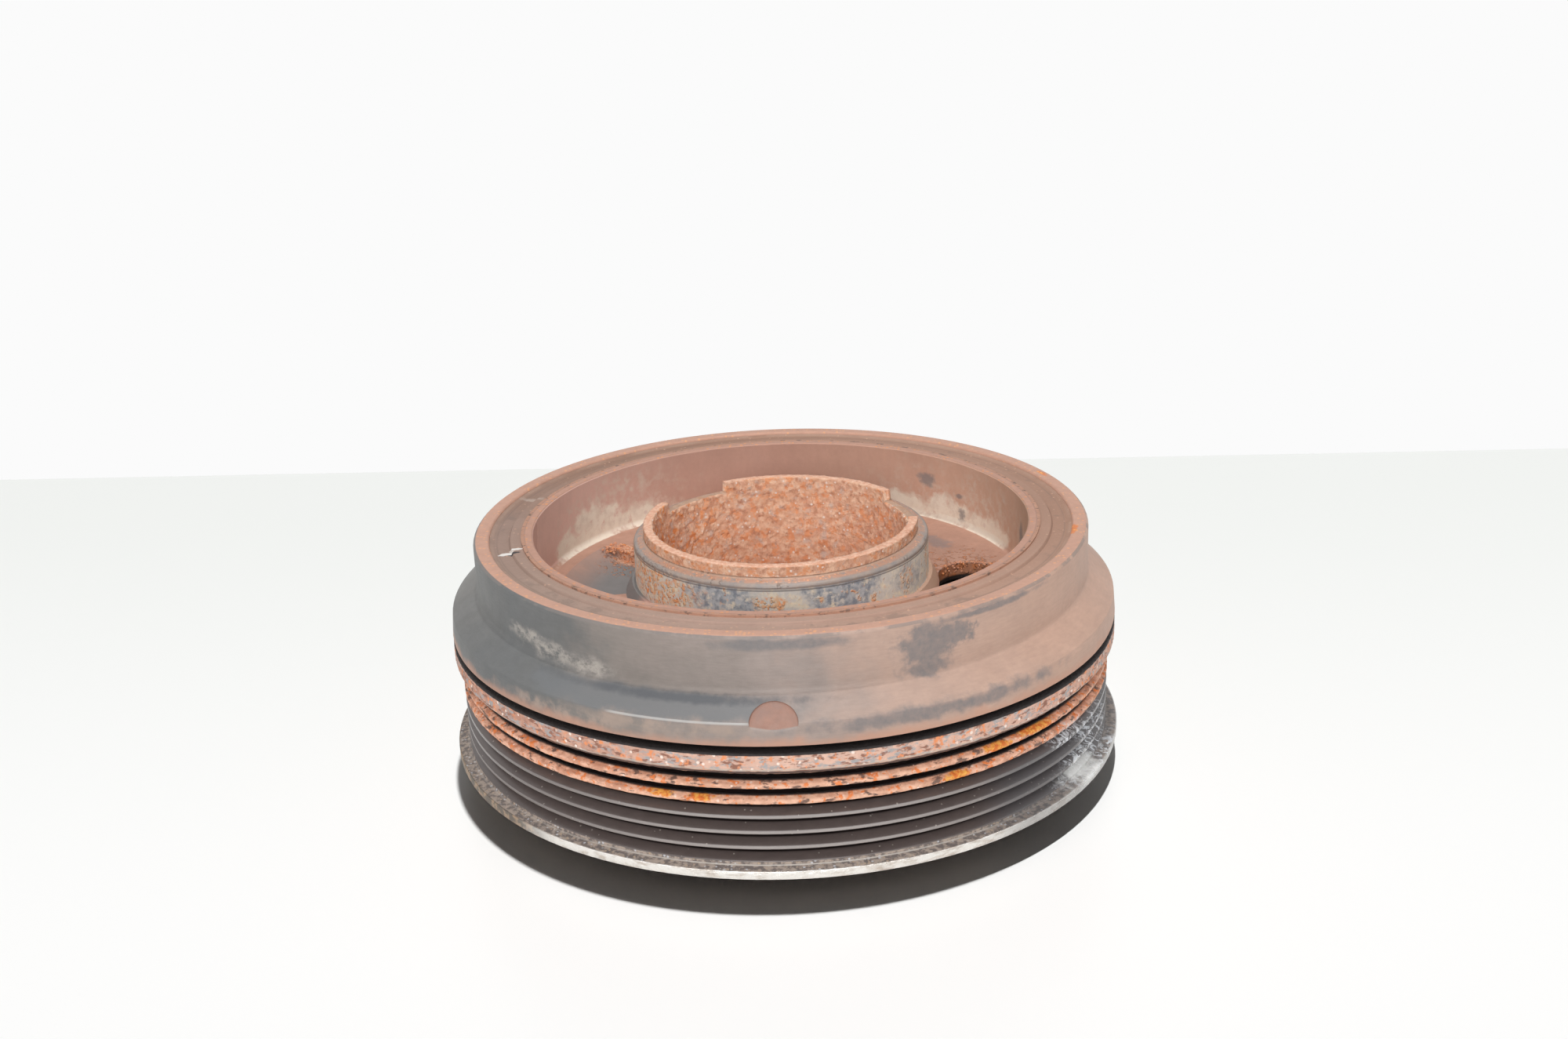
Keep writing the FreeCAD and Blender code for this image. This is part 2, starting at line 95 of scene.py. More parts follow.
class Finish:
    """A material under construction. Lengths are in millimetres and azimuths in degrees."""

    def __init__(self, name):
        self.material = bpy.data.materials.new(name)
        self.material.use_nodes = True
        self.tree = self.material.node_tree
        self.shader = self.tree.nodes["Principled BSDF"]
        self.place = self.add("ShaderNodeTexCoord").outputs["Object"]
        parts = self.add("ShaderNodeSeparateXYZ", Vector=self.place)
        x, y, z = parts.outputs
        flat = self.add("ShaderNodeCombineXYZ", X=x, Y=y)
        length = self.add("ShaderNodeVectorMath", operation="LENGTH", Vector=flat.outputs[0])
        self.radius = self.sum("MULTIPLY", length.outputs["Value"], 1000)
        self.height = self.sum("MULTIPLY", z, 1000)
        self.azimuth = self.sum("MULTIPLY", self.sum("ARCTAN2", y, x), 180 / math.pi)
        self.coat = None
        self.relief = None

    def add(self, kind, operation=None, **sockets):
        """A shader node with some of its sockets filled."""
        made = self.tree.nodes.new(kind)
        if operation:
            made.operation = operation
        for name, value in sockets.items():
            self.put(made.inputs[name], value)
        return made

    def put(self, socket, value):
        """Fill a socket with another node's output or with a plain value."""
        if isinstance(value, bpy.types.NodeSocket):
            self.tree.links.new(value, socket)
        elif socket.type == "VECTOR":
            socket.default_value = value[:3]
        else:
            socket.default_value = value

    def sum(self, operation, *values):
        """One step of arithmetic."""
        made = self.tree.nodes.new("ShaderNodeMath")
        made.operation = operation
        for socket, value in zip(made.inputs, values):
            self.put(socket, value)
        return made.outputs[0]

    def rise(self, value, low, high):
        """0 below low, 1 above high, smooth between. With low above high it falls instead."""
        falls = low > high
        made = self.tree.nodes.new("ShaderNodeMapRange")
        made.interpolation_type = "SMOOTHSTEP"
        self.put(made.inputs["Value"], value)
        self.put(made.inputs["From Min"], min(low, high))
        self.put(made.inputs["From Max"], max(low, high))
        self.put(made.inputs["To Min"], 1.0 if falls else 0.0)
        self.put(made.inputs["To Max"], 0.0 if falls else 1.0)
        return made.outputs["Result"]

    def by_height(self, low, high):
        return self.rise(self.height, low, high)

    def by_radius(self, low, high):
        return self.rise(self.radius, low, high)

    def by_azimuth(self, low, high):
        return self.rise(self.azimuth, low, high)

    def both(self, *masks):
        """The product of masks: where all of them hold."""
        result = masks[0]
        for mask in masks[1:]:
            result = self.sum("MULTIPLY", result, mask)
        return result

    def either(self, *masks):
        """The largest of masks: where any of them holds."""
        result = masks[0]
        for mask in masks[1:]:
            result = self.sum("MAXIMUM", result, mask)
        return result

    def band(self, value, low, high, soft):
        """1 between low and high, 0 outside, with soft edges."""
        return self.both(self.rise(value, low - soft, low + soft),
                         self.rise(value, high + soft, high - soft))

    def noise(self, grain, detail=4.0, rough=0.6, squash=1.0, warp=0.0, shift=0.0):
        """Cloudy noise about 0.5 whose blobs are as large as the grain. A squash above 1 flattens
        the blobs into streaks that run round the axis."""
        place = self.place
        if squash != 1.0 or shift:
            place = self.add("ShaderNodeMapping", Vector=place, Location=(shift, shift, shift),
                             Scale=(1.0, 1.0, squash)).outputs[0]
        made = self.add("ShaderNodeTexNoise", Vector=place, Scale=1000 / grain, Detail=detail,
                        Roughness=rough, Distortion=warp)
        return made.outputs["Fac"]

    def cells(self, grain):
        """Distance to the nearest of many scattered points, for flakes."""
        return self.add("ShaderNodeTexVoronoi", Vector=self.place, Scale=1000 / grain).outputs[
            "Distance"]

    def specks(self, grain, share, fill=0.4, shift=0.0):
        """Separate grains, one at most in each cell of that size, in a share of the cells."""
        place = self.add("ShaderNodeVectorMath", operation="ADD", Vector=self.place)
        self.put(place.inputs[1], (shift, shift, shift))
        made = self.add("ShaderNodeTexVoronoi", Vector=place.outputs[0], Scale=1000 / grain)
        pick = self.add("ShaderNodeSeparateColor", Color=made.outputs["Color"]).outputs[0]
        near = self.rise(made.outputs["Distance"], fill * 1.25, fill * 0.75)
        return self.both(near, self.rise(pick, share + 0.02, share - 0.02))

    def patches(self, grain, share, soft=0.06, **more):
        """Ragged patches that cover about that share of the surface."""
        middle = 0.5 + (0.5 - share) * 0.42
        return self.rise(self.noise(grain, **more), middle - soft, middle + soft)

    def spot(self, azimuth, half_angle, centre, half_height, rag, grain, soft=0.12, over=None):
        """One ragged oval patch, placed by azimuth and by height, or by over instead of height."""
        turned = self.sum("WRAP", self.sum("SUBTRACT", self.azimuth, azimuth), 180.0, -180.0)
        along = self.sum("POWER", self.sum("ABSOLUTE", self.sum("DIVIDE", turned, half_angle)), 2.0)
        level = self.height if over is None else over
        off = self.sum("SUBTRACT", level, centre)
        beside = self.sum("POWER", self.sum("ABSOLUTE", self.sum("DIVIDE", off, half_height)), 2.0)
        reach = self.sum("SQRT", self.sum("ADD", along, beside))
        torn = self.sum("MULTIPLY", self.sum("SUBTRACT", self.noise(grain, detail=5), 0.5), rag * 3)
        return self.rise(self.sum("ADD", reach, torn), 1.0 + soft, 1.0 - soft)

    def spots(self, *rows, over=None):
        """Ragged patches from rows of what spot takes: azimuth, half angle, centre, half height,
        raggedness, grain and softness."""
        return self.either(*[self.spot(*row, over=over) for row in rows])

    def round_the_axis(self, *stops):
        """A colour that changes with azimuth. Stops are (azimuth, red, green, blue)."""
        ramp = self.tree.nodes.new("ShaderNodeValToRGB")
        wobble = self.sum("MULTIPLY", self.sum("SUBTRACT", self.noise(18.0), 0.5), 44.0)
        turned = self.sum("WRAP", self.sum("ADD", self.azimuth, wobble), 180.0, -180.0)
        self.put(ramp.inputs[0], self.sum("DIVIDE", self.sum("ADD", turned, 180.0), 360.0))
        elements = ramp.color_ramp.elements
        while len(elements) < len(stops):
            elements.new(0.5)
        for element, (azimuth, *_) in zip(elements, stops):
            element.position = (azimuth + 180) / 360
        for element, (_, *colour) in zip(elements, stops):
            element.color = tone(*colour)
        return ramp.outputs[0]

    def mix(self, mask, under, over, part=1.0):
        """Lay a colour over another where the mask is 1, thinned down to a part."""
        if part != 1.0:
            mask = self.both(mask, part)
        made = self.tree.nodes.new("ShaderNodeMix")
        made.data_type = "RGBA"
        self.put(made.inputs[0], mask)
        self.put(made.inputs[6], under)
        self.put(made.inputs[7], over)
        return made.outputs[2]

    def lay(self, colour, *masks):
        """Lay a colour over the coat where all masks hold. A number among them thins it."""
        self.coat = self.mix(self.both(*masks), self.coat, colour)

    def blotch(self, under, over, grain, share, **more):
        """Lay ragged patches of one colour over another."""
        return self.mix(self.patches(grain, share, **more), under, over)

    def fleck(self, under, over, grain, share, **more):
        """Scatter single grains of one colour over another."""
        return self.mix(self.specks(grain, share, **more), under, over)

    def layered(self, colour, *layers):
        """Patches laid one over another, from rows of colour, grain, share and softness, then
        shift, detail and squash where they matter."""
        for over, grain, share, soft, *rest in layers:
            more = dict(zip(("shift", "detail", "squash"), rest))
            colour = self.blotch(colour, over, grain, share, soft=soft, **more)
        return colour

    def level(self, mask, under, over):
        """A plain number that goes from under to over as the mask goes from 0 to 1."""
        made = self.tree.nodes.new("ShaderNodeMix")
        made.data_type = "FLOAT"
        self.put(made.inputs[0], mask)
        self.put(made.inputs[2], under)
        self.put(made.inputs[3], over)
        return made.outputs[0]

    def shade(self, colour, value, depth):
        """Make a colour lighter and darker by value, which lies about 0.5."""
        factor = self.sum("ADD", self.sum("MULTIPLY", self.sum("SUBTRACT", value, 0.5), depth), 1.0)
        made = self.tree.nodes.new("ShaderNodeVectorMath")
        made.operation = "SCALE"
        self.put(made.inputs[0], colour)
        self.put(made.inputs["Scale"], factor)
        return made.outputs[0]

    def mottle(self, colour, depth, grain, **more):
        """Make a colour cloudy, in blobs as large as the grain."""
        return self.shade(colour, self.noise(grain, **more), depth)

    def raise_by(self, value, depth):
        """Add relief: a value from 0 to 1 stands up by depth, in millimetres."""
        made = self.tree.nodes.new("ShaderNodeBump")
        made.inputs["Strength"].default_value = 1.0
        made.inputs["Distance"].default_value = depth * MM
        self.put(made.inputs["Height"], value)
        if self.relief is not None:
            self.put(made.inputs["Normal"], self.relief)
        self.relief = made.outputs[0]

    def so_far(self):
        print(self.material.name, "has", len(self.tree.nodes), "nodes so far")

    def done(self, roughness, metal=0.0, shine=0.5):
        """Wire the coat and the relief to the shader and give back the material."""
        self.put(self.shader.inputs["Base Color"], self.coat)
        self.put(self.shader.inputs["Roughness"], roughness)
        self.put(self.shader.inputs["Metallic"], metal)
        self.shader.inputs["Specular IOR Level"].default_value = shine
        if self.relief is not None:
            self.put(self.shader.inputs["Normal"], self.relief)
        return self.material


def dress(pieces, material):
    """Give every face of these pieces one material."""
    for piece in pieces:
        piece.data.materials.clear()
        piece.data.materials.append(material)
        print(piece.name, "wears", material.name, "of", len(material.node_tree.nodes), "nodes")


# %% [markdown]
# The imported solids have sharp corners, but turned and worn steel has small rounded ones, and those
# catch the light in fine bright lines. A copy of a node is merged into one skin, its sharp edges
# are bevelled, and the copy stands for the node. Nothing moves, so every size is kept.

# %% Round the edges of the turned pieces
WELD_GAP = 0.002 * MM
SHARP_EDGE = math.radians(28.0)
SMOOTH_UP_TO = math.radians(40)


def pick(item):
    """Select one object alone."""
    bpy.ops.object.select_all(action="DESELECT")
    item.select_set(True)
    bpy.context.view_layer.objects.active = item


def rounded_copy(node, name, width):
    """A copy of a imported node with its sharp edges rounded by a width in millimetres."""
    pick(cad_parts[node])
    bpy.ops.object.duplicate(linked=False)
    piece = bpy.context.object
    piece.name = name
    piece.data.name = name
    for key in [key for key in piece.keys() if key.startswith("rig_")]:
        del piece[key]
    bpy.ops.mesh.customdata_custom_splitnormals_clear()
    bpy.ops.object.mode_set(mode="EDIT")
    bpy.ops.mesh.select_all(action="SELECT")
    bpy.ops.mesh.remove_doubles(threshold=WELD_GAP)
    bpy.ops.object.mode_set(mode="OBJECT")
    bevel = piece.modifiers.new("edge_round", "BEVEL")
    bevel.width = width * MM
    bevel.segments = 2
    bevel.limit_method = "ANGLE"
    bevel.angle_limit = SHARP_EDGE
    bevel.miter_outer = "MITER_ARC"
    bpy.ops.object.modifier_apply(modifier=bevel.name)
    bpy.ops.object.shade_smooth_by_angle(angle=SMOOTH_UP_TO)
    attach(piece, "root")
    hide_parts(node)
    print(name, "has", len(piece.data.polygons), "faces with edges rounded by", width, "mm")
    return piece


belt_rim = rounded_copy("belt_pulley", "belt_rim", 0.16)
damper_ring = rounded_copy("inertia_ring", "damper_ring", 0.2)
hub_tube = rounded_copy("hub", "hub_tube", 0.25)

# %% [markdown]
# Coarse rust can't be painted on: its flakes cast shadows and break the edge of the collar. So the
# inside of the tube and the collar get a skin of their own. Its outline is drawn point by point by
# extruding a vertex, and spun about the crank axis into a closed ring. Displacement by a cell
# texture and a cloud texture then pushes the side that shows into flakes and grains.

# %% Turn an outline into a closed ring
def spun_ring(name, outline, columns):
    """A closed ring whose section is an outline of (radius, height) points in millimetres."""
    bpy.ops.object.select_all(action="DESELECT")
    bpy.ops.mesh.primitive_plane_add(size=MM, location=(0, 0, 0))
    piece = bpy.context.object
    piece.name = name
    piece.data.name = name
    bpy.ops.object.mode_set(mode="EDIT")
    bpy.ops.mesh.select_all(action="SELECT")
    bpy.ops.mesh.merge(type="CENTER")
    corners = [Vector((radius * MM, 0, height * MM)) for radius, height in outline]
    bpy.ops.transform.translate(value=corners[0])
    for start, end in zip(corners, corners[1:]):
        bpy.ops.mesh.extrude_region_move(TRANSFORM_OT_translate={"value": end - start})
    bpy.ops.mesh.select_all(action="SELECT")
    bpy.ops.mesh.edge_face_add()
    bpy.ops.mesh.delete(type="ONLY_FACE")
    bpy.ops.mesh.select_all(action="SELECT")
    bpy.ops.mesh.spin(steps=columns, angle=2 * math.pi, center=(0, 0, 0), axis=(0, 0, 1))
    bpy.ops.mesh.select_all(action="SELECT")
    bpy.ops.mesh.remove_doubles(threshold=0.01 * MM)
    bpy.ops.mesh.normals_make_consistent(inside=False)
    bpy.ops.object.mode_set(mode="OBJECT")
    bpy.ops.object.shade_smooth()
    print(name, "spun into", len(piece.data.polygons), "faces")
    return piece


def evenly(start, end, gap):
    """Points from start up to end, about a gap apart, without the end itself."""
    length = math.dist(start, end)
    count = max(1, round(length / gap))
    return [(start[0] + (end[0] - start[0]) * step / count,
             start[1] + (end[1] - start[1]) * step / count) for step in range(count)]


def round_place(vertex):
    """Where a point of a mesh is: radius and height in millimetres, azimuth in degrees."""
    x, y, z = vertex.co
    return math.hypot(x, y) / MM, z / MM, math.degrees(math.atan2(y, x))


def roughen(piece, group, kind, grain, depth, middle=0.5):
    """Push the points of a vertex group along their normals by a texture."""
    texture = bpy.data.textures.new(piece.name + "_" + kind.lower(), kind)
    texture.noise_scale = grain * MM
    if kind == "CLOUDS":
        texture.noise_depth = 3
    push = piece.modifiers.new("rust_" + kind.lower(), "DISPLACE")
    push.texture = texture
    push.texture_coords = "GLOBAL"
    push.strength = depth * MM
    push.mid_level = middle
    push.vertex_group = group
    pick(piece)
    bpy.ops.object.modifier_apply(modifier=push.name)


# %% [markdown]
# The collar is notched in two places. The skin is spun whole, and then every point that stands in
# a notch is set down to the notch floor, which leaves a broken edge like the real one. The points
# stand closer together near the top, where the camera sees them.

# %% Rust scale in the tube and on the collar
BORE = 30.8
COLLAR = 32.9
COLLAR_TOP = 59.2
SKIN_TOP = COLLAR_TOP - 0.1
TOP_LIMIT = 59.44 * MM
NOTCH_FLOOR = 56.4
NOTCH_STARTS = (-4.5, 116.0)
NOTCH_WIDTH = 37.5
TUBE_FLOOR = 14.6
FINE_FROM = 33.0
DEEP_GAP = 1.0
FINE_GAP = 0.31
SCALE_COLUMNS = 600

section = evenly((BORE, TUBE_FLOOR), (BORE, FINE_FROM), DEEP_GAP)
section += evenly((BORE, FINE_FROM), (BORE, SKIN_TOP), FINE_GAP)
section += evenly((BORE, SKIN_TOP), (COLLAR, SKIN_TOP), FINE_GAP)
section += evenly((COLLAR, SKIN_TOP), (COLLAR, NOTCH_FLOOR), FINE_GAP)
section += [(COLLAR - 0.6, NOTCH_FLOOR - 0.5), (BORE + 0.5, NOTCH_FLOOR - 1.2),
            (BORE + 0.5, TUBE_FLOOR + 0.3)]
tube_scale = spun_ring("tube_scale", section, SCALE_COLUMNS)

grains = tube_scale.vertex_groups.new(name="grains")
for vertex in tube_scale.data.vertices:
    radius, height, azimuth = round_place(vertex)
    in_notch = any((azimuth - start) % 360 < NOTCH_WIDTH for start in NOTCH_STARTS)
    on_the_tube = radius < BORE + 0.1
    hidden = BORE + 0.3 < radius < COLLAR - 0.4 and height < COLLAR_TOP - 0.3
    if in_notch and height > NOTCH_FLOOR - 0.05:
        vertex.co.z = (NOTCH_FLOOR + 0.05 * (height - NOTCH_FLOOR) / 3) * MM
        amount = 0.2
    elif on_the_tube:
        amount = max(0.0, min(1.0, (height - TUBE_FLOOR) / 2.0, 0.35 + (COLLAR_TOP - height) / 3))
    else:
        amount = 0.35
    if not hidden:
        grains.add([vertex.index], amount, "REPLACE")
roughen(tube_scale, "grains", "VORONOI", 2.0, 0.7, 0.35)
roughen(tube_scale, "grains", "CLOUDS", 1.1, 0.75, 0.45)
for vertex in tube_scale.data.vertices:
    vertex.co.z = min(vertex.co.z, TOP_LIMIT)
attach(tube_scale, "root")
print("tube scale box", [round(v / MM, 2) for v in tube_scale.dimensions])

# %% [markdown]
# The plain band and the two upper ribs of the belt rim are crusted with rust as well. They get a
# thinner skin, drawn along the same V-grooves that the solid has and closed inside its metal.

# %% Rust crust on the belt rim
ROOT = 75.22
CREST = 78.22
BAND = 79.72
CRUST_TOP = 36.0
CRUST_GAP = 0.42
CRUST_COLUMNS = 1000

groove_side = [(ROOT, 22.74), (CREST, 23.83), (CREST, 24.69), (ROOT, 25.78), (ROOT, 26.30),
               (CREST, 27.39), (CREST, 28.25), (ROOT, 29.34), (ROOT, 29.86), (CREST, 30.95),
               (BAND, 32.55), (BAND, 35.95), (BAND - 0.2, 36.15)]
section = []
for start, end in zip(groove_side, groove_side[1:]):
    section += evenly(start, end, CRUST_GAP)
section += [groove_side[-1], (ROOT - 0.9, 35.8), (ROOT - 0.9, 22.8)]
rim_crust = spun_ring("rim_crust", section, CRUST_COLUMNS)

flakes = rim_crust.vertex_groups.new(name="flakes")
for vertex in rim_crust.data.vertices:
    radius, height, _ = round_place(vertex)
    if radius > ROOT + 0.1:
        amount = 0.1 if height > CRUST_TOP else min(1.0, (radius - ROOT) / 2.0)
        flakes.add([vertex.index], amount, "REPLACE")
roughen(rim_crust, "flakes", "VORONOI", 1.6, 0.12, 0.3)
roughen(rim_crust, "flakes", "CLOUDS", 1.5, 0.2, 0.42)
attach(rim_crust, "root")
print("rim crust box", [round(v / MM, 2) for v in rim_crust.dimensions])

# %% [markdown]
# Where the sheet of the cup was cut, rust has grown into loose crumbs, and a few lie on the lip of
# the ring. One crumb is modelled from a ball, pulled out of shape by clouds. Copies of it are
# turned, sized and scattered along each edge, and joined into one pile per place.

# %% Loose crumbs of rust
CUP_FLOOR = 42.45
RECESS_END = 147.0
WINDOW_END = 1.0
WINDOW_MIDDLE = 46.0
WINDOW_HALF = 8.0
LIP_TOP = 58.5
LIP_PLACES = ((21, 71.6), (-4, 71.2), (-20, 71.0), (-11, 71.4))

chance = random.Random(7)


def model_crumb():
    """One lumpy grain, one millimetre across."""
    bpy.ops.object.select_all(action="DESELECT")
    bpy.ops.mesh.primitive_ico_sphere_add(subdivisions=2, radius=0.5 * MM)
    grain = bpy.context.object
    grain.name = "crumb"
    lumps = grain.vertex_groups.new(name="lumps")
    lumps.add([vertex.index for vertex in grain.data.vertices], 1.0, "REPLACE")
    roughen(grain, "lumps", "CLOUDS", 0.4, 0.5)
    return grain


def on_pulley(azimuth, radius, height):
    """A point from azimuth in degrees, and radius and height in millimetres."""
    angle = math.radians(azimuth)
    return Vector((radius * math.cos(angle), radius * math.sin(angle), height)) * MM


def pile(name, places):
    """Copies of the crumb at places of (point, size in millimetres), joined into one piece."""
    copies = []
    for point, size in places:
        pick(crumb)
        bpy.ops.object.duplicate(linked=False)
        copy = bpy.context.object
        copy.location = point
        copy.rotation_euler = [chance.uniform(0, 2 * math.pi) for _ in range(3)]
        copy.scale = [size * chance.uniform(0.7, 1.3) for _ in range(3)]
        copies.append(copy)
    bpy.ops.object.select_all(action="DESELECT")
    for copy in copies:
        copy.select_set(True)
    bpy.context.view_layer.objects.active = copies[0]
    bpy.ops.object.join()
    bpy.ops.object.transform_apply(location=True, rotation=True, scale=True)
    piece = bpy.context.object
    piece.name = name
    piece.data.name = name
    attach(piece, "root")
    print(name, "of", len(places), "crumbs")
    return piece


def along_window_end(count):
    """Places round the far end of the window on the right, where the cut edge faces the camera."""
    middle = on_pulley(WINDOW_END, WINDOW_MIDDLE, 0)
    places = []
    for _ in range(count):
        turn_by = math.radians(chance.uniform(-10, 150))
        reach = (WINDOW_HALF + chance.uniform(-0.5, 0.9)) * MM
        point = middle + Vector((math.cos(turn_by), math.sin(turn_by), 0)) * reach
        inside_edge = reach < WINDOW_HALF * MM
        point.z = (chance.uniform(40.2, 42.4) if inside_edge else CUP_FLOOR) * MM
        places.append((point, chance.uniform(0.3, 0.75)))
    return places


def along_recess_end(count):
    """Places across the left end of the recess."""
    return [(on_pulley(RECESS_END + chance.gauss(-0.5, 1.6), chance.uniform(41.0, 54.0),
                       chance.uniform(42.2, 42.6)), chance.uniform(0.35, 1.0))
            for _ in range(count)]


def on_the_lip(count):
    """Places in a few small groups on the lip of the ring."""
    return [(on_pulley(azimuth + chance.gauss(0, 0.7), radius + chance.gauss(0, 0.4), LIP_TOP),
             chance.uniform(0.4, 0.9))
            for azimuth, radius in LIP_PLACES for _ in range(count)]


crumb = model_crumb()
window_crumbs = pile("window_crumbs", along_window_end(150))
recess_crumbs = pile("recess_crumbs", along_recess_end(110))
lip_chips = pile("lip_chips", on_the_lip(7))
bpy.data.objects.remove(crumb)

# %% [markdown]
# The damper ring was painted dark grey. The left of its wall still shows the paint, dulled and
# smudged. Going round to the right the paint thins to brown-grey and then to a smooth pink-brown
# film of rust, with a few grey islands of paint left. A colour that changes with azimuth gives the
# slow change, and single ragged spots put each island and smudge where it is.

# %% Finish of the damper ring
ring = Finish("ring_paint_and_rust")
# A near-black brown used as painted shade, on gaps and faces that lie in shadow.
PAINTED_SHADE = tone(46, 37, 34)
ring.coat = ring.round_the_axis(
    (-180, 118, 116, 113), (-146, 104, 105, 105), (-128, 107, 107, 106), (-117, 134, 126, 120),
    (-92, 157, 143, 136), (-76, 182, 155, 141), (-38, 192, 158, 140), (0, 194, 160, 142),
    (54, 176, 150, 136), (104, 142, 133, 127), (150, 118, 115, 112), (180, 118, 116, 113))
ring.coat = ring.mottle(ring.coat, 0.34, 9.0, detail=6, warp=0.6)
ring.coat = ring.mottle(ring.coat, 0.14, 1.8, detail=5)
ring.coat = ring.mottle(ring.coat, 0.26, 3.0, detail=6, squash=6.0)
paint_left = ring.spots(
    (-66, 5.2, 53.8, 4.2, 0.7, 3.0, 0.3),
    (-61, 4.0, 54.6, 2.6, 0.9, 2.0, 0.3),
    (-66, 4.0, 48.6, 1.6, 0.9, 3.0, 0.5),
    (-90, 12.0, 57.6, 1.2, 0.6, 5.0, 0.5),
    (-52, 11.0, 58.1, 0.7, 0.6, 3.0, 0.4),
    (-66, 20.0, 41.6, 1.5, 0.8, 4.0, 0.5),
    (40, 9.0, 50.0, 5.0, 0.8, 6.0))
worn_through = ring.level(ring.noise(1.4, detail=6), 0.35, 1.1)
ring.lay(tone(118, 116, 117), paint_left, worn_through)
band_low = ring.spot(-112, 22.0, 44.6, 2.2, 0.3, 6.0, soft=0.3)
ring.lay(tone(112, 114, 116), band_low, 0.85)
band_core = ring.spot(-108, 19.0, 46.0, 0.7, 0.5, 3.0, soft=0.6)
ring.lay(tone(84, 86, 90), band_core, 0.85)
wisps = ring.rise(ring.noise(3.0, detail=8, rough=0.7, squash=1.6), 0.36, 0.6)
smudge = ring.both(wisps, ring.spots(
    (-140, 5.0, 50.9, 1.5, 0.7, 4.0, 0.7),
    (-132, 6.0, 49.4, 1.8, 0.7, 4.0, 0.7),
    (-125, 4.5, 48.5, 1.7, 0.7, 3.0, 0.7)))
ring.lay(tone(178, 170, 162), smudge, 0.95)
brown_haze = ring.both(ring.rise(ring.noise(4.0, detail=7), 0.36, 0.6), ring.spots(
    (-124, 14.0, 40.2, 1.6, 0.8, 5.0, 0.6),
    (-108, 14.0, 41.4, 1.6, 0.8, 5.0, 0.6)))
ring.lay(tone(170, 150, 137), brown_haze, 0.8)
# A painted highlight: a light line along the corner of the flare, on the side that faces the camera.
corner_highlight = ring.both(ring.by_radius(79.2, 79.35), ring.band(ring.height, 42.5, 43.1, 0.12),
                        ring.band(ring.azimuth, -118, -95.6, 1.0))
ring.lay(tone(196, 193, 190), corner_highlight, 0.7)
ragged_height = ring.sum("ADD", ring.height, ring.sum("MULTIPLY", ring.noise(6.0), 4.0))
foot_rust = ring.both(ring.rise(ragged_height, 42.2, 39.8), ring.by_radius(77.0, 79.0))
ring.lay(tone(198, 148, 124), foot_rust, 0.7)
ring.so_far()

# %% [markdown]
# The balance drilling is bare, so it rusted pink. It is found by its distance from the point where
# the drill went in, and by how deep a point lies under the ring's own outline.

# %% Drilling and hidden faces of the ring
DRILLED_AT = Vector((-2.78, -79.5, 42.6)) * MM
DRILL_RADIUS = 6.0
FLARE_RADIUS = 79.4
FLARE_TOP = 42.9
FLARE_SLOPE = 1.409

drilled = ring.add("ShaderNodeVectorMath", operation="DISTANCE", Vector=ring.place)
ring.put(drilled.inputs[1], DRILLED_AT)
near_drill = ring.rise(drilled.outputs["Value"], (DRILL_RADIUS + 0.2) * MM,
                       (DRILL_RADIUS - 0.1) * MM)
over_flare = ring.sum("MAXIMUM", ring.sum("SUBTRACT", ring.height, FLARE_TOP), 0.0)
outline_radius = ring.sum("SUBTRACT", FLARE_RADIUS, ring.sum("MULTIPLY", over_flare, FLARE_SLOPE))
sunk = ring.rise(ring.sum("SUBTRACT", outline_radius, ring.radius), 0.12, 0.3)
pink = ring.mottle(tone(158, 120, 105), 0.5, 2.0, detail=5)
drill_rust = ring.level(ring.noise(3.0, detail=6), 0.5, 1.3)
ring.lay(pink, near_drill, sunk, drill_rust)
lip = ring.both(ring.by_height(58.75, 58.9), ring.by_radius(72.75, 72.6))
rusty_lip = ring.mottle(tone(200, 155, 134), 0.35, 2.2, detail=5)
rusty_lip = ring.fleck(rusty_lip, tone(222, 166, 128), 0.9, 0.2)
bright_rust = ring.fleck(tone(222, 132, 76), tone(246, 178, 96), 0.8, 0.4)
bright_places = ring.spots(
    (-13, 2.6, 69.7, 1.0, 0.7, 1.5, 0.3),
    (20.7, 1.8, 71.4, 0.7, 0.7, 1.5, 0.3),
    over=ring.radius)
rusty_lip = ring.mix(bright_places, rusty_lip, bright_rust)
ring.lay(rusty_lip, lip)
lip_edge = ring.both(ring.by_height(58.7, 58.9), ring.by_radius(72.55, 72.7),
                     ring.patches(7.0, 0.55))
ring.lay(tone(128, 120, 116), lip_edge, 0.6)
# The bore side above the rubber and the underside of the ring are painted near black. This is painted
# shade where the ring meets the rubber and overhangs the belt rim.
bore_side = ring.both(ring.by_radius(73.0, 72.6), ring.by_height(58.6, 58.2))
under = ring.by_height(37.95, 37.75)
ring.lay(PAINTED_SHADE, ring.either(bore_side, under))
ring.raise_by(ring.noise(0.7, detail=4), 0.05)
ring.raise_by(ring.noise(3.0, detail=5, squash=3.0), 0.09)
ring_shine = ring.level(ring.noise(8.0), 0.42, 0.62)
dress([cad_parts["inertia_ring"], damper_ring], ring.done(ring_shine, shine=0.4))

# %% [markdown]
# The rubber between the cup and the ring is a flat brown annulus under dust. Its inner third is a
# raised, paler lip, and the moulding left fine round lines. Lines that depend on the radius alone
# run round the axis, as turned and moulded marks do.

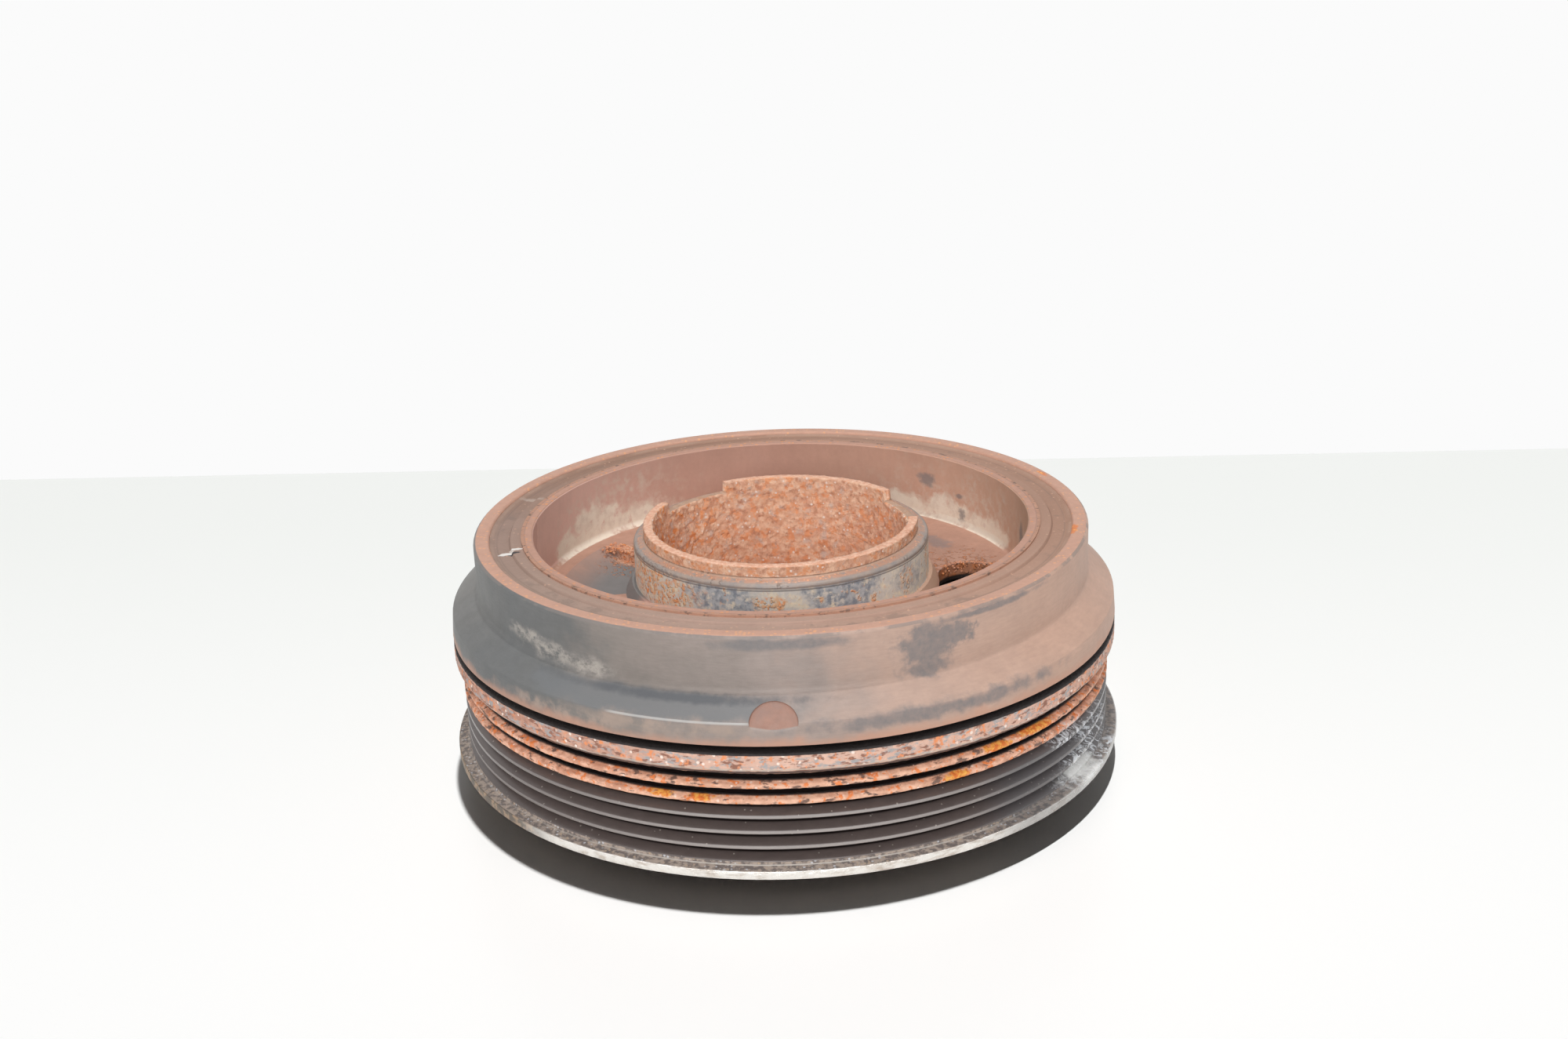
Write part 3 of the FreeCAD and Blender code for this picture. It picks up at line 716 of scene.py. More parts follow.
# %% Finish of the damper rubber
rubber = Finish("dusty_rubber")
rubber.coat = rubber.round_the_axis(
    (-180, 156, 131, 119), (-140, 164, 140, 127), (-100, 178, 150, 136), (-50, 182, 147, 129),
    (0, 168, 132, 113), (60, 170, 135, 117), (90, 162, 126, 107), (140, 150, 119, 102),
    (180, 150, 126, 114))
radius_alone = rubber.add("ShaderNodeCombineXYZ", X=rubber.radius).outputs[0]
round_lines = rubber.add("ShaderNodeTexNoise", Vector=radius_alone, Scale=2.4, Detail=3.0)
round_lines = round_lines.outputs["Fac"]
rubber.coat = rubber.shade(rubber.coat, round_lines, 0.16)
rubber.coat = rubber.mottle(rubber.coat, 0.24, 7.0, detail=5)
rubber.coat = rubber.mottle(rubber.coat, 0.16, 0.8, detail=2)
inner_lip = rubber.by_radius(64.75, 64.4)
rubber.lay(tone(188, 156, 140), inner_lip, 0.15)
step_line = rubber.both(rubber.band(rubber.radius, 64.6, 64.9, 0.1), rubber.noise(8.0))
rubber.lay(tone(128, 110, 100), step_line, 0.4)
# A dark line where the rubber rises to meet the ring is painted shade in that crease.
rise_shade_line = rubber.both(rubber.band(rubber.radius, 67.5, 67.9, 0.15),
                         rubber.level(rubber.noise(8.0), 0.0, 1.2))
rubber.lay(tone(118, 102, 94), rise_shade_line, 0.5)
dust_rim = rubber.both(rubber.by_radius(68.2, 68.8), rubber.patches(8.0, 0.6, soft=0.15))
rubber.lay(tone(190, 160, 142), dust_rim, 0.4)
# On the left a shiny scratch is painted as a reflection: a white mark beside a dark middle.
scratch_reflection = rubber.spots(
    (-165.6, 0.75, 66.0, 1.9, 0.6, 1.2),
    (-166.6, 0.6, 63.6, 1.6, 0.6, 1.2),
    over=rubber.radius)
scratch_dark_reflection = rubber.spot(-164.6, 0.6, 64.4, 1.5, 0.7, 1.2, over=rubber.radius)
old_scrape = rubber.spot(160.5, 0.9, 66.0, 2.8, 0.6, 1.5, over=rubber.radius, soft=0.5)
rubber.lay(tone(206, 190, 178), old_scrape, 0.45)
rubber.lay(tone(64, 58, 58), scratch_dark_reflection)
rubber.lay(tone(234, 228, 222), scratch_reflection)
dark_spots = rubber.both(rubber.band(rubber.radius, 64.9, 67.4, 0.4), rubber.patches(5.0, 0.3))
rubber.lay(tone(126, 110, 102), dark_spots, 0.4)
grit = rubber.specks(1.1, 0.14, fill=0.25)
rubber.lay(tone(206, 168, 144), grit, 0.6)
rubber.raise_by(round_lines, 0.03)
rubber.raise_by(rubber.noise(0.5, detail=3), 0.05)
dress([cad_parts["damper_rubber"]],
      rubber.done(rubber.level(scratch_reflection, 0.72, 0.3), shine=0.35))

# %% [markdown]
# The thin steel sleeve between the drum and the rubber shows only its top edge, a fine light line.
# It is rusted as its neighbours are, so a short recipe does for it.

# %% Finish of the sleeve
sleeve = Finish("sleeve_edge_rust")
sleeve.coat = sleeve.mottle(tone(186, 142, 120), 0.5, 3.0, detail=5)
sleeve.coat = sleeve.blotch(sleeve.coat, tone(122, 98, 86), 2.2, 0.3)
sleeve.raise_by(sleeve.noise(0.6), 0.05)
dress([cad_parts["damper_sleeve"]], sleeve.done(0.75))

# %% [markdown]
# The cup is pressed from sheet. A smooth red-brown film of rust covers its wall and floor. Road
# dust has settled low on the wall in cream clouds, and old grey paint shows through in spots and in
# the recess on the left. The edges of the recess and of the windows are raw orange rust.

# %% Finish of the cup
cup = Finish("cup_rust_and_dust")
# From azimuth 150 round to -180 the film is painted lighter. This is painted light on the side of the
# wall that the lamps leave in shade.
cup.coat = cup.round_the_axis(
    (-180, 216, 174, 160), (-90, 196, 156, 139), (0, 200, 164, 140), (30, 208, 168, 146),
    (55, 206, 163, 142), (90, 196, 152, 134), (120, 198, 157, 141), (150, 218, 178, 164),
    (180, 228, 188, 174))
cup.coat = cup.mottle(cup.coat, 0.24, 10.0, detail=5)
cup.coat = cup.mottle(cup.coat, 0.12, 2.0, detail=5, squash=0.4)
cup.coat = cup.mottle(cup.coat, 0.10, 0.9, detail=3)
floor_part = cup.by_height(43.6, 42.9)
floor_rust = cup.mottle(tone(188, 146, 127), 0.4, 5.0, detail=6)
floor_rust = cup.mottle(floor_rust, 0.2, 1.0, detail=4)
cup.lay(floor_rust, floor_part)
dust = cup.spots(
    (156, 7.0, 44.4, 3.6, 0.7, 4.0, 0.35),
    (144, 10.0, 45.6, 6.0, 0.8, 4.0, 0.35),
    (128, 10.0, 44.4, 3.8, 0.7, 4.0, 0.35),
    (114, 10.0, 43.6, 1.4, 0.6, 3.0, 0.35),
    (56, 10.0, 44.6, 3.0, 0.7, 4.0, 0.35),
    (42, 9.0, 44.9, 3.6, 0.8, 4.0, 0.35),
    (26, 10.0, 44.2, 3.2, 0.8, 4.0, 0.35),
    (-40, 12.0, 44.8, 2.6, 0.9, 5.0, 0.35))
on_wall = cup.by_radius(57.7, 58.1)
cloudy = cup.rise(cup.noise(3.4, detail=8, rough=0.65), 0.24, 0.44)
cup.lay(tone(236, 223, 206), dust, on_wall, cloudy)
haze = cup.both(on_wall, cup.spots(
    (140, 15.0, 49.0, 7.5, 1.0, 6.0, 0.9),
    (132, 6.0, 54.0, 4.0, 1.0, 4.0, 0.9),
    (32, 24.0, 48.5, 6.5, 1.0, 7.0, 0.9)))
wispy = cup.rise(cup.noise(2.2, detail=8), 0.40, 0.68)
cup.lay(tone(216, 198, 181), haze, wispy, 0.75)
grey_spots = cup.both(on_wall, cup.spots(
    (49, 2.3, 52.6, 1.7, 0.8, 2.0, 0.5),
    (38, 1.2, 50.3, 0.6, 0.8, 1.5, 0.5),
    (37, 1.1, 45.4, 1.7, 0.9, 1.5, 0.5),
    (6, 1.6, 50.0, 3.4, 0.5, 2.0, 0.5)))
cup.lay(tone(132, 126, 126), grey_spots, 0.75)
pale_spots = cup.both(on_wall, cup.specks(4.0, 0.12, fill=0.16))
cup.lay(tone(208, 184, 174), pale_spots, 0.5)
floor_grey = cup.spot(30.5, 6.0, 46.6, 2.6, 0.9, 3.0, over=cup.radius, soft=0.4)
cup.lay(tone(136, 128, 128), floor_grey, floor_part, 0.6)
cup.so_far()

# %% [markdown]
# The recess is lower than the floor, and the window edges are cut faces, so height finds them both.
# Raw rust is coarser and brighter than the film. It grows as grains, denser near the cut edges.

# %% Recess, window edges and rim of the cup
TOP_FACE = (59.2, 59.35)

recess = cup.both(cup.by_height(42.42, 42.2), cup.band(cup.azimuth, 144, 181, 3.0))
paint = cup.mottle(tone(130, 128, 127), 0.3, 3.0, detail=5)
cup.lay(paint, recess)
blush = cup.both(cup.by_radius(45.0, 56.0), recess, cup.level(cup.noise(4.0, detail=6), 0.4, 1.1))
cup.lay(tone(190, 150, 132), blush)
neck_paint = cup.both(cup.by_radius(38.2, 37.9),
                      cup.either(cup.by_azimuth(138, 146), cup.by_azimuth(-150, -160)))
cup.lay(paint, neck_paint)
raw_edge = cup.both(cup.band(cup.azimuth, 143, 149.5, 1.5), cup.by_height(43.4, 42.5),
                    cup.by_radius(52.0, 48.0))
window_wall = cup.both(cup.by_height(42.3, 42.0), cup.band(cup.azimuth, -125, 98, 2.0))
near_window = cup.both(cup.spot(9, 13.0, 45.5, 8.5, 0.9, 3.0, over=cup.radius, soft=0.5),
                       floor_part)
near_recess = cup.both(cup.spot(150, 8.0, 45.0, 6.0, 1.0, 3.0, over=cup.radius, soft=0.5),
                       floor_part)
grains_here = cup.either(cup.specks(1.3, 0.45), cup.specks(0.7, 0.4))
raw = cup.blotch(cup.mottle(tone(186, 130, 100), 0.7, 0.9), tone(205, 132, 88), 1.6, 0.4, soft=0.1)
cup.lay(raw, grains_here, cup.either(near_window, near_recess))
pale_rust = cup.mottle(tone(222, 172, 142), 0.5, 1.4, detail=6)
pale_rust = cup.fleck(pale_rust, tone(226, 146, 100), 0.9, 0.3)
cup.lay(raw, window_wall)
cup.lay(pale_rust, raw_edge)
# Low in the windows the cut faces are painted near black, a painted shade where the view runs into
# the dark under the cup.
cup.lay(PAINTED_SHADE, cup.by_height(39.9, 39.2), window_wall)
rim_top = cup.both(cup.by_height(*TOP_FACE), cup.by_radius(59.15, 59.3))
rim_rust = cup.mottle(tone(190, 147, 128), 0.35, 2.0, detail=5)
rim_rust = cup.fleck(rim_rust, tone(214, 152, 112), 1.0, 0.25)
cup.lay(rim_rust, rim_top)
rim_line = cup.both(cup.by_height(*TOP_FACE), cup.by_radius(60.9, 61.1))
cup.lay(tone(128, 104, 94), rim_line, 0.35)
out_of_sight = cup.either(cup.by_radius(61.25, 61.35), cup.by_height(38.6, 38.3))
cup.lay(tone(92, 70, 60), out_of_sight, cup.by_height(59.3, 59.0))
rough_rust = cup.either(raw_edge, cup.both(floor_part, cup.patches(6.0, 0.25)))
cup.raise_by(cup.both(grains_here, cup.either(near_window, near_recess, raw_edge)), 0.35)
cup.raise_by(cup.both(cup.noise(1.4, detail=5), raw_edge), 0.3)
cup.raise_by(cup.noise(0.8, detail=4), 0.04)
cup.raise_by(cup.noise(6.0, detail=4), 0.12)
dress([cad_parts["carrier_cup"]], cup.done(cup.level(rough_rust, 0.62, 0.85),
                                                shine=0.35))

# %% [markdown]
# The crumbs are the rawest rust of all: orange, with yellow and brown grains.

# %% Finish of the crumbs
grain = Finish("raw_rust")
grain.coat = grain.blotch(tone(206, 150, 122), tone(226, 170, 138), 1.6, 0.5, soft=0.15)
grain.coat = grain.layered(
    grain.coat,
    (tone(222, 146, 92), 1.2, 0.34, 0.08, 0.4),
    (tone(164, 112, 88), 1.0, 0.3, 0.08, 0.7))
grain.raise_by(grain.noise(0.3, detail=3), 0.05)
dress([window_crumbs, recess_crumbs, lip_chips], grain.done(0.85, shine=0.3))

# %% [markdown]
# The hub tube wears three coats. Its wall had blue-black paint, broken by pale and orange
# corrosion. The rounded shoulder is worn to grey. The notched collar and all of the inside are bare
# and deeply rusted in coarse orange grains.

# %% Finish of the hub wall
hub = Finish("hub_paint_and_scale")
black = hub.blotch(tone(136, 143, 152), tone(186, 188, 190), 1.6, 0.5, soft=0.12, shift=0.3)
pale = hub.blotch(tone(212, 206, 198), tone(234, 220, 194), 1.8, 0.5, soft=0.1)
orange = hub.blotch(tone(226, 184, 146), tone(232, 152, 96), 1.4, 0.4, soft=0.08)
painted = hub.spots(
    (-116, 12.0, 53.0, 4.6, 0.7, 3.0, 0.3),
    (-66, 14.0, 52.0, 4.2, 0.8, 3.0, 0.3),
    (-34, 10.0, 51.0, 3.0, 0.9, 3.0, 0.3),
    (-103, 4.0, 50.6, 2.0, 0.9, 2.0, 0.3),
    (90, 50.0, 50.0, 4.0, 0.8, 4.0, 0.3))
scabs = hub.spots(
    (-147, 20.0, 51.0, 5.4, 0.7, 3.0, 0.4),
    (-94, 6.0, 51.2, 2.2, 0.9, 2.0, 0.4),
    (-36, 4.5, 50.4, 3.2, 0.9, 2.0, 0.4),
    (-14, 5.0, 52.4, 3.0, 0.9, 2.0, 0.4))
scabs = hub.either(scabs, hub.both(hub.patches(3.0, 0.22), hub.by_height(40.0, 44.0)))
hub.coat = hub.blotch(tone(208, 203, 196), pale, 2.6, 0.5, soft=0.12, detail=6)
hub.lay(black, painted, hub.patches(2.0, 0.66, soft=0.06, detail=7))
flecks = hub.either(hub.specks(1.2, 0.5), hub.specks(0.7, 0.4))
crumbly = hub.either(flecks, hub.patches(1.2, 0.45, soft=0.08, detail=7))
hub.lay(orange, scabs, crumbly)
hub.coat = hub.mottle(hub.coat, 0.4, 0.8, detail=6)
right_side = hub.both(hub.band(hub.azimuth, -50, 20, 10.0), hub.by_height(46.0, 48.0))
hub.lay(tone(242, 232, 216), right_side, 0.35)
neck = hub.by_height(45.5, 43.5)
hub.lay(hub.mottle(tone(178, 143, 124), 0.5, 2.0, detail=5), neck)
hub.so_far()

# %% [markdown]
# The shoulder starts at a thin dark line. Grains of the collar's rust spill down onto it, denser
# near the collar.

# %% Shoulder, collar and inside of the tube
shoulder = hub.both(hub.by_height(54.5, 54.8), hub.by_radius(32.6, 32.95))
steel = hub.blotch(tone(142, 134, 130), tone(164, 146, 134), 2.6, 0.5, soft=0.2, detail=7)
spilt = hub.both(hub.patches(1.2, 0.7, soft=0.08, detail=7), hub.by_radius(35.0, 34.2))
steel = hub.mix(spilt, steel, hub.fleck(tone(182, 140, 118), tone(216, 158, 122), 0.7, 0.4))
hub.lay(steel, shoulder)
hub.lay(tone(104, 98, 98), hub.band(hub.height, 54.15, 54.5, 0.12), 0.75)
left_side = hub.either(hub.by_azimuth(110, 160), hub.by_azimuth(-120, -160))
crumbs = hub.blotch(tone(234, 182, 148), tone(230, 178, 150), 7.0, 0.5, soft=0.2)
fiery = hub.mix(left_side, tone(240, 168, 124), tone(244, 158, 96))
crumbs = hub.layered(
    crumbs,
    (tone(248, 206, 176), 2.2, 0.5, 0.1, 0.0, 7),
    (fiery, 2.0, 0.38, 0.06, 0.9, 7),
    (tone(206, 150, 122), 1.8, 0.28, 0.09, 0.3, 7),
    (tone(222, 196, 182), 2.6, 0.2, 0.09, 0.7, 7))
# Near-white grains scattered over the rust are painted glints.
crumbs = hub.fleck(crumbs, tone(252, 232, 220), 1.0, 0.16, fill=0.3, shift=0.2)
collar = hub.either(hub.by_radius(32.98, 32.92), hub.by_height(56.5, 56.7))
collar = hub.both(collar, hub.by_height(10.0, 12.1))
top_of_collar = hub.both(hub.by_height(58.9, 59.1), hub.by_radius(30.9, 31.2))
collar_rust = hub.blotch(tone(236, 178, 148), tone(250, 206, 180), 1.0, 0.45, soft=0.12)
scale = hub.mix(top_of_collar, crumbs, hub.mottle(collar_rust, 0.3, 0.8))
hub.lay(scale, collar)
ledge = hub.both(hub.band(hub.height, 56.25, 56.75, 0.06), hub.by_radius(30.9, 31.1))
hub.lay(tone(180, 150, 130), ledge, 0.75)
hidden_foot = hub.both(hub.by_height(30.0, 26.0), hub.by_radius(31.0, 31.2))
hub.lay(hub.mottle(tone(96, 82, 74), 0.6, 5.0, detail=6), hidden_foot)
machined = hub.both(hub.by_height(0.06, 0.02), hub.level(hub.noise(8.0), 0.5, 1.0))
hub.lay(tone(168, 160, 152), machined)
hub.raise_by(hub.both(hub.noise(0.5, detail=5), collar), 0.3)
hub.raise_by(hub.both(flecks, scabs), 0.2)
hub.raise_by(hub.both(hub.noise(1.2, detail=6), 0.5), 0.25)
worn = hub.both(shoulder, hub.rise(collar, 0.6, 0.3))
rough = hub.level(worn, hub.level(painted, 0.8, 0.45), 0.42)
dress([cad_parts["hub"], hub_tube, tube_scale],
      hub.done(hub.level(collar, rough, 0.9), metal=hub.both(worn, 0.1)))

# %% [markdown]
# The belt rim tells its own story. The belt has run on the lower four ribs, which are glossy
# black-brown with fine bright crests. The plain band and the two upper ribs are scabbed with orange
# rust and black dashes that run round the rim.

# %% Finish of the plain band and the upper ribs
rim = Finish("pulley_rust_and_polish")
# A painted sheen: the plain band and the upper ribs are lighter on the front, where the light falls
# towards the camera.
sheen = rim.band(rim.azimuth, -112, -58, 26.0)
plate = rim.blotch(tone(186, 136, 116), tone(216, 168, 146), 3.0, 0.5, soft=0.12, detail=7)
plate = rim.mix(sheen, plate, tone(240, 206, 188), part=0.55)
right_side = rim.band(rim.azimuth, -62, -8, 12.0)
plate = rim.mix(right_side, plate, tone(236, 198, 180), part=0.4)
plate = rim.layered(
    plate,
    (tone(172, 168, 168), 2.6, 0.36, 0.06, 0.2, 7, 2.5),
    (tone(150, 104, 86), 2.4, 0.34, 0.05, 0.5, 7, 2.5),
    (tone(236, 150, 100), 1.8, 0.26, 0.05, 0.4, 6))
plate = rim.fleck(plate, tone(248, 228, 216), 1.1, 0.16, fill=0.32)
# Along the lower edge of the band a light line is partly polish and partly a painted highlight. Below
# it the groove is painted dark, a painted shade.
polish_and_highlight_band = rim.both(rim.band(rim.height, 32.1, 32.65, 0.12), rim.patches(9.0, 0.8, soft=0.2))
plate = rim.mix(polish_and_highlight_band, plate, tone(206, 194, 180), part=0.7)
plate = rim.mix(rim.by_height(32.0, 31.6), plate, tone(88, 70, 64))
rib = rim.blotch(tone(208, 148, 120), tone(246, 192, 164), 2.4, 0.5, soft=0.1, detail=7, squash=1.6)
rib = rim.mix(sheen, rib, tone(240, 196, 168), part=0.45)
rib = rim.layered(
    rib,
    (tone(124, 96, 84), 3.0, 0.32, 0.04, 0.4, 7, 3.0),
    (tone(240, 140, 80), 1.8, 0.3, 0.04, 0.1, 6))
rib = rim.fleck(rib, tone(246, 218, 202), 1.0, 0.14, fill=0.3, shift=0.8)
yellow = rim.spots(
    (-46, 4.0, 28.6, 1.2, 0.8, 2.0, 0.3),
    (-55, 2.6, 28.0, 1.0, 1.0, 1.5, 0.3),
    (-104, 2.0, 24.8, 0.7, 1.2, 1.5, 0.3),
    (-110, 2.0, 25.0, 0.7, 1.2, 1.5, 0.3),
    (-63, 2.0, 24.4, 0.8, 1.2, 1.5, 0.3),
    (70, 8.0, 27.4, 1.2, 1.2, 3.0, 0.3))
fresh_rust = rim.blotch(tone(222, 118, 50), tone(246, 178, 84), 1.0, 0.5, soft=0.1)
rib = rim.mix(yellow, rib, fresh_rust)
rim.so_far()

# %% [markdown]
# The ribs stand at an even pitch, so how far a point lies from the middle of its rib comes from its
# height by wrapping. The belt polished only a narrow line along each crest, and that line is painted
# lighter towards the camera as a painted highlight.

# %% Finish of the grooves and the flange
RIB_HEIGHT = 13.58
RIB_PITCH = 3.56
RIBS_FOOT = 10.3
RIBS_TOP = 31.0
RUST_FROM = 23.7

metal_black = rim.mottle(tone(92, 81, 78), 0.5, 3.0, detail=5, squash=4.0)
metal_black = rim.mix(rim.specks(1.4, 0.3, fill=0.14), metal_black, tone(176, 166, 158), part=0.7)
ribs_edge = rim.sum("ADD", rim.height, rim.sum("MULTIPLY", rim.noise(4.0), 0.8))
upper_ribs = rim.rise(ribs_edge, RUST_FROM, RUST_FROM + 0.3)
rim.coat = rim.mix(upper_ribs, metal_black, rib)
in_grooves = rim.band(rim.height, RIBS_FOOT, RIBS_TOP, 0.1)
# The roots of the grooves, and more of each rusty groove, are painted near black. This is painted
# shade where the ribs hide the light.
shaded_rusty_groove = rim.both(upper_ribs, rim.by_radius(77.3, 76.7))
root = rim.both(in_grooves, rim.either(rim.by_radius(76.0, 75.6), shaded_rusty_groove))
rim.lay(tone(34, 26, 25), root)
rim.lay(plate, rim.by_height(RIBS_TOP - 0.1, RIBS_TOP))
over_rib = rim.sum("SUBTRACT", rim.height, RIB_HEIGHT)
from_crest = rim.sum("ABSOLUTE", rim.sum("WRAP", over_rib, -RIB_PITCH / 2, RIB_PITCH / 2))
lower_ribs = rim.rise(ribs_edge, RUST_FROM + 0.3, RUST_FROM)
crest = rim.both(rim.by_radius(78.0, 78.1), in_grooves, lower_ribs, rim.rise(from_crest, 0.4, 0.25))
# The crest lines are polish, painted lighter towards the camera as a painted highlight.
in_front = rim.band(rim.azimuth, -118, -62, 22.0)
crest_polish_and_highlight = rim.both(crest, rim.level(in_front, 0.35, 0.95))
rim.lay(tone(170, 163, 160), crest_polish_and_highlight)
flange = rim.by_height(RIBS_FOOT, RIBS_FOOT - 0.2)
speckled = rim.blotch(tone(120, 110, 106), tone(182, 166, 154), 1.4, 0.5, soft=0.08, detail=6)
speckled = rim.fleck(speckled, tone(190, 168, 146), 0.8, 0.2, fill=0.35, shift=0.6)
speckled = rim.fleck(speckled, tone(206, 206, 210), 0.8, 0.16, fill=0.35, shift=0.3)
rim.lay(speckled, flange)
# A painted highlight: a light line where the flange meets the last rib, strongest towards the camera.
foot_highlight = rim.both(rim.band(rim.radius, 78.35, 78.8, 0.1), flange)
rim.lay(tone(222, 214, 206), foot_highlight, rim.level(in_front, 0.2, 0.9))
# The outer edge of the flange is bare metal painted near white, partly a painted reflection of the
# bench. On the left it is brown.
flange_rim = rim.both(rim.by_radius(80.55, 80.75), rim.by_height(9.8, 9.6))
bare_and_reflecting = rim.blotch(tone(236, 232, 226), tone(196, 184, 172), 4.0, 0.3, soft=0.15, squash=3.0)
brown_left = rim.either(rim.band(rim.azimuth, -181, -134, 6.0), rim.by_azimuth(40.0, 60.0))
brown = rim.blotch(tone(106, 96, 86), tone(164, 140, 116), 2.5, 0.5)
rim_metal = rim.mix(brown_left, bare_and_reflecting, brown)
rim.lay(rim_metal, flange_rim)
dark_right = rim.both(rim.band(rim.azimuth, -55, 18, 6.0), rim.by_height(24.0, 21.0))
rim.lay(tone(86, 88, 92), dark_right, 0.5)
rim.so_far()

# %% [markdown]
# White powder has dried on the right of the flange and in the grooves above it. Inside the rim the
# metal is darker, and the top face of the rim, under the ring, is painted near black as painted
# shade.

# %% Powder, hidden faces and shine
streaks = rim.rise(rim.noise(1.8, detail=8, warp=1.5), 0.47, 0.62)
powder = rim.both(streaks, rim.spots(
    (-31, 7.0, 12.5, 4.0, 0.7, 4.0, 0.5),
    (-36, 5.0, 22.0, 2.4, 0.7, 3.0, 0.5),
    (-27, 5.0, 18.5, 3.0, 0.7, 3.0, 0.5),
    (-22, 6.0, 13.0, 6.0, 0.7, 4.0, 0.5)))
rim.lay(tone(228, 231, 236), powder)
heap = rim.spot(-31, 5.5, 11.0, 2.4, 0.7, 3.0, soft=0.4)
rim.lay(tone(240, 240, 238), heap, rim.level(rim.noise(1.0), 0.6, 1.0))
inside = rim.by_radius(73.6, 73.3)
inside_dark = rim.mottle(tone(88, 72, 62), 0.6, 6.0, detail=6)
rim.lay(inside_dark, inside)
# The top face of the rim, under the overhang of the ring, is painted near black: painted shade.
rim_top_face = rim.both(rim.by_height(35.6, 35.75), rim.by_radius(73.0, 74.0))
rim.lay(tone(34, 27, 26), rim_top_face)
rusted = rim.both(upper_ribs, rim.by_radius(76.0, 76.6))
rim.raise_by(rim.both(rim.noise(1.3, detail=6), rim.either(rusted, flange)), 0.35)
rim.raise_by(rim.both(rim.cells(0.9), rusted), 0.15)
rim.raise_by(rim.noise(0.4, detail=2), 0.01)
shiny = rim.either(crest_polish_and_highlight, rim.both(flange_rim, rim.sum("SUBTRACT", 1.0, brown_left)))
rim_rough = rim.level(rusted, 0.3, 0.72)
rim_rough = rim.level(flange, rim_rough, 0.6)
rim_rough = rim.level(shiny, rim_rough, 0.22)
dress([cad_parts["belt_pulley"], belt_rim, rim_crust],
      rim.done(rim_rough, metal=rim.both(shiny, 0.6)))

# %% [markdown]
# The bench is a plain pale floor that ends behind the pulley, in a line across the picture. Above
# the line only the white of the room shows. The bench is painted a little greyer towards its far
# edge, a painted shade.

# %% Floor
BENCH_EDGE = 0.225
BENCH_TURN = math.radians(-3.07)
BENCH_SIZE = 2.0
BENCH_DARKENS_OVER = 0.35

bpy.ops.object.select_all(action="DESELECT")
bpy.ops.mesh.primitive_plane_add(size=BENCH_SIZE, rotation=(0, 0, BENCH_TURN))
bench = bpy.context.object
bench.name = "bench"
bpy.ops.transform.translate(value=(0, BENCH_EDGE - BENCH_SIZE / 2 / math.cos(BENCH_TURN), 0))
bench_finish = Finish("white_bench")
along_bench = bench_finish.add("ShaderNodeSeparateXYZ", Vector=bench_finish.place).outputs[1]
# Towards its far edge the bench is painted greyer: painted shade.
far = bench_finish.rise(along_bench, BENCH_SIZE / 2 - BENCH_DARKENS_OVER, BENCH_SIZE / 2)
bench_finish.coat = bench_finish.mix(far, tone(251, 251, 250), tone(236, 238, 235))
bench.data.materials.append(bench_finish.done(0.35, shine=0.3))
print("bench ends", BENCH_EDGE, "m behind the axis")

# %% [markdown]
# Each lamp is a disc. The small one nearly overhead gives the sharp shadow under the flange and the
# glints. In the photograph the bench is almost burnt out beside the pulley. So a twin of that lamp
# lights the bench alone, and broad lamps above, in front and at the sides light the pulley alone.
# Each lamp that lights only some things is given a collection of them. The world adds a faint even
# light, and what the camera and polished metal see of the room is white.

# %% Lamps and background
def lamp(name, place, target, size, power):
    """A round lamp that looks at a point. The size is in metres and the power in watts."""
    data = bpy.data.lights.new(name, "AREA")
    data.shape = "DISK"
    data.size = size
    data.energy = power
    made = bpy.data.objects.new(name, data)
    bpy.context.scene.collection.objects.link(made)
    made.location = place
    made.rotation_euler = (Vector(target) - Vector(place)).to_track_quat("-Z", "Y").to_euler()
    return made


def light_only(made, pieces):
    """Let a lamp light these pieces and nothing else. All things still throw its shadow."""
    chosen = bpy.data.collections.new(made.name + "_lights")
    for piece in pieces:
        chosen.objects.link(piece)
    made.light_linking.receiver_collection = chosen


OVERHEAD = (0.156, 0.2, 4.0)
OVERHEAD_SIZE = 0.12
FOOT = (0, 0, 0)
MID_HEIGHT = (0, 0, 0.03)

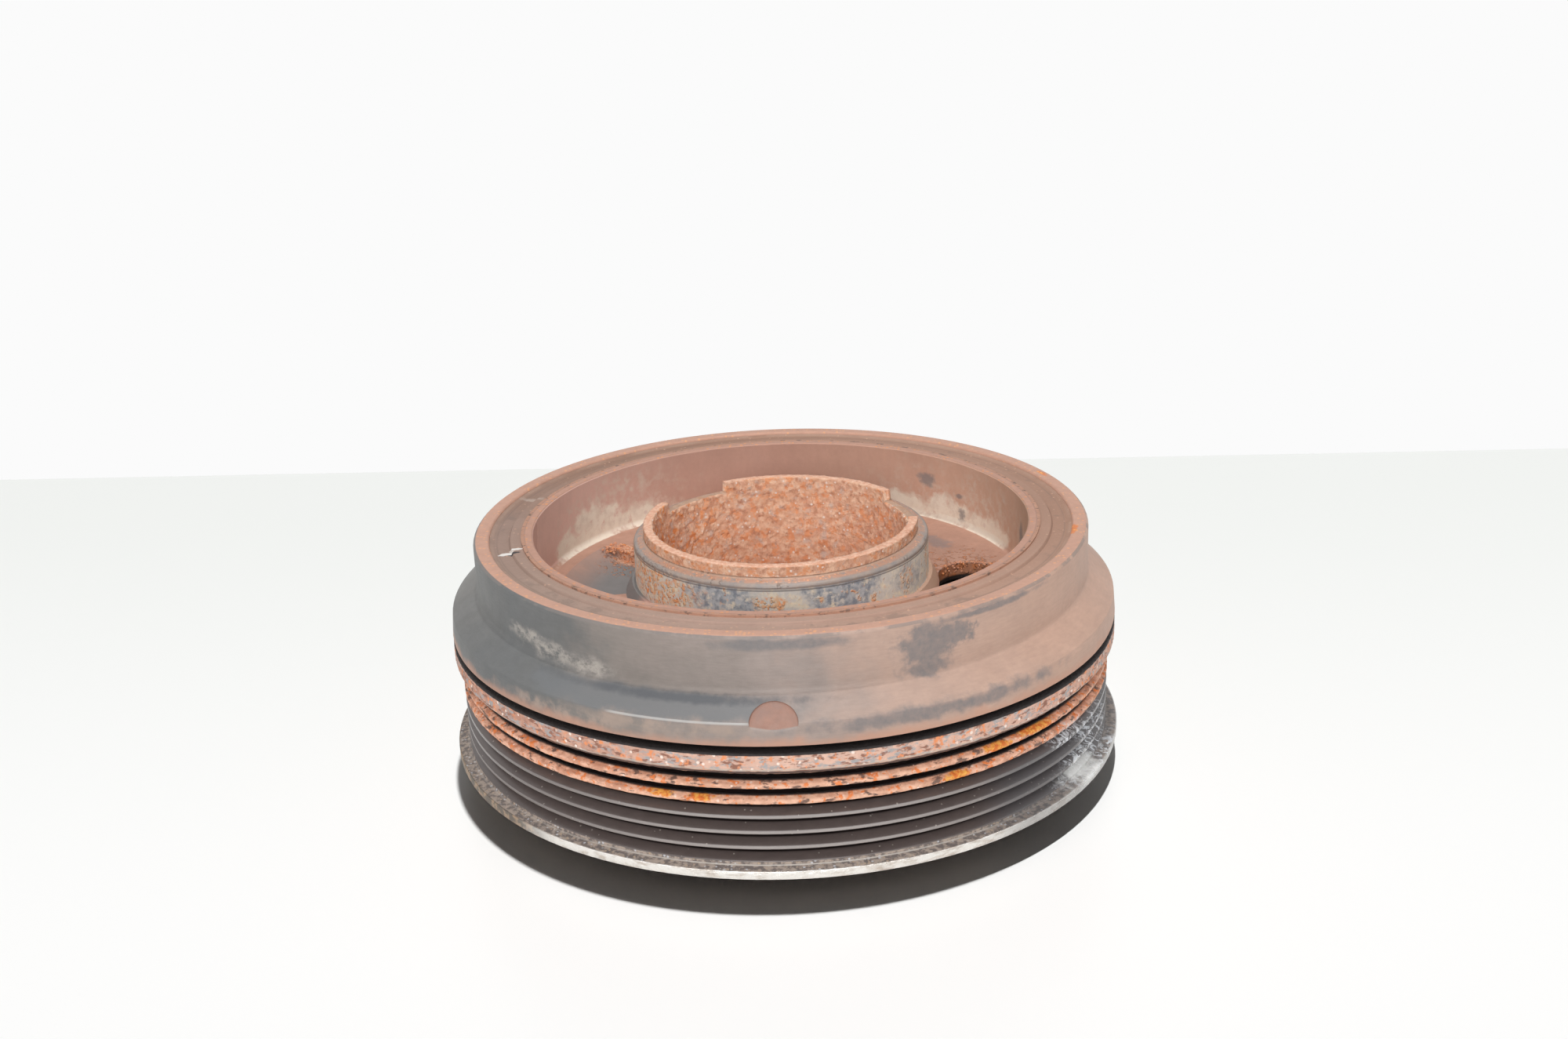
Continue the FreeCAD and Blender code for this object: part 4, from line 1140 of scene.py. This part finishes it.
pulley_pieces = [item for item in bpy.context.scene.objects
                 if item.type == "MESH" and item is not bench]
lamp("overhead_lamp", OVERHEAD, FOOT, OVERHEAD_SIZE, 45.0)
light_only(lamp("bench_lamp", OVERHEAD, FOOT, OVERHEAD_SIZE, 108.0), [bench])
for name, place, target, size, power in (
        ("sky_lamp", (0, 0, 1.5), FOOT, 2.0, 5.0),
        ("front_lamp", (-0.15, -1.35, 0.8), MID_HEIGHT, 1.2, 17.0),
        ("left_lamp", (-1.2, -0.2, 0.8), MID_HEIGHT, 0.8, 2.0),
        ("right_lamp", (1.2, -0.2, 0.8), MID_HEIGHT, 0.8, 2.5)):
    light_only(lamp(name, place, target, size, power), pulley_pieces)
print("lamps light", len(pulley_pieces), "pieces of the pulley and the bench")

# %% [markdown]
# The world is two backgrounds. The faint one lights the pulley, and the white one is only seen: by
# the camera, in reflections and through clear things.

# %% White room

WORLD_STRENGTH = 0.06

world = bpy.data.worlds.new("white_room")
bpy.context.scene.world = world
world.use_nodes = True
sky = world.node_tree
light = sky.nodes["Background"]
light.inputs["Color"].default_value = (1.0, 1.0, 1.0, 1.0)
light.inputs["Strength"].default_value = WORLD_STRENGTH
seen = sky.nodes.new("ShaderNodeBackground")
seen.inputs["Color"].default_value = tone(251, 251, 251)
seen.inputs["Strength"].default_value = 1.0
path = sky.nodes.new("ShaderNodeLightPath")
looks = path.outputs["Is Camera Ray"]
for ray in ("Is Glossy Ray", "Is Transmission Ray"):
    larger = sky.nodes.new("ShaderNodeMath")
    larger.operation = "MAXIMUM"
    sky.links.new(looks, larger.inputs[0])
    sky.links.new(path.outputs[ray], larger.inputs[1])
    looks = larger.outputs[0]
choose = sky.nodes.new("ShaderNodeMixShader")
sky.links.new(looks, choose.inputs[0])
sky.links.new(light.outputs[0], choose.inputs[1])
sky.links.new(seen.outputs[0], choose.inputs[2])
sky.links.new(choose.outputs[0], sky.nodes["World Output"].inputs["Surface"])
bpy.context.scene.view_settings.view_transform = "Standard"
print("world", world.name, "with", len(sky.nodes), "nodes")
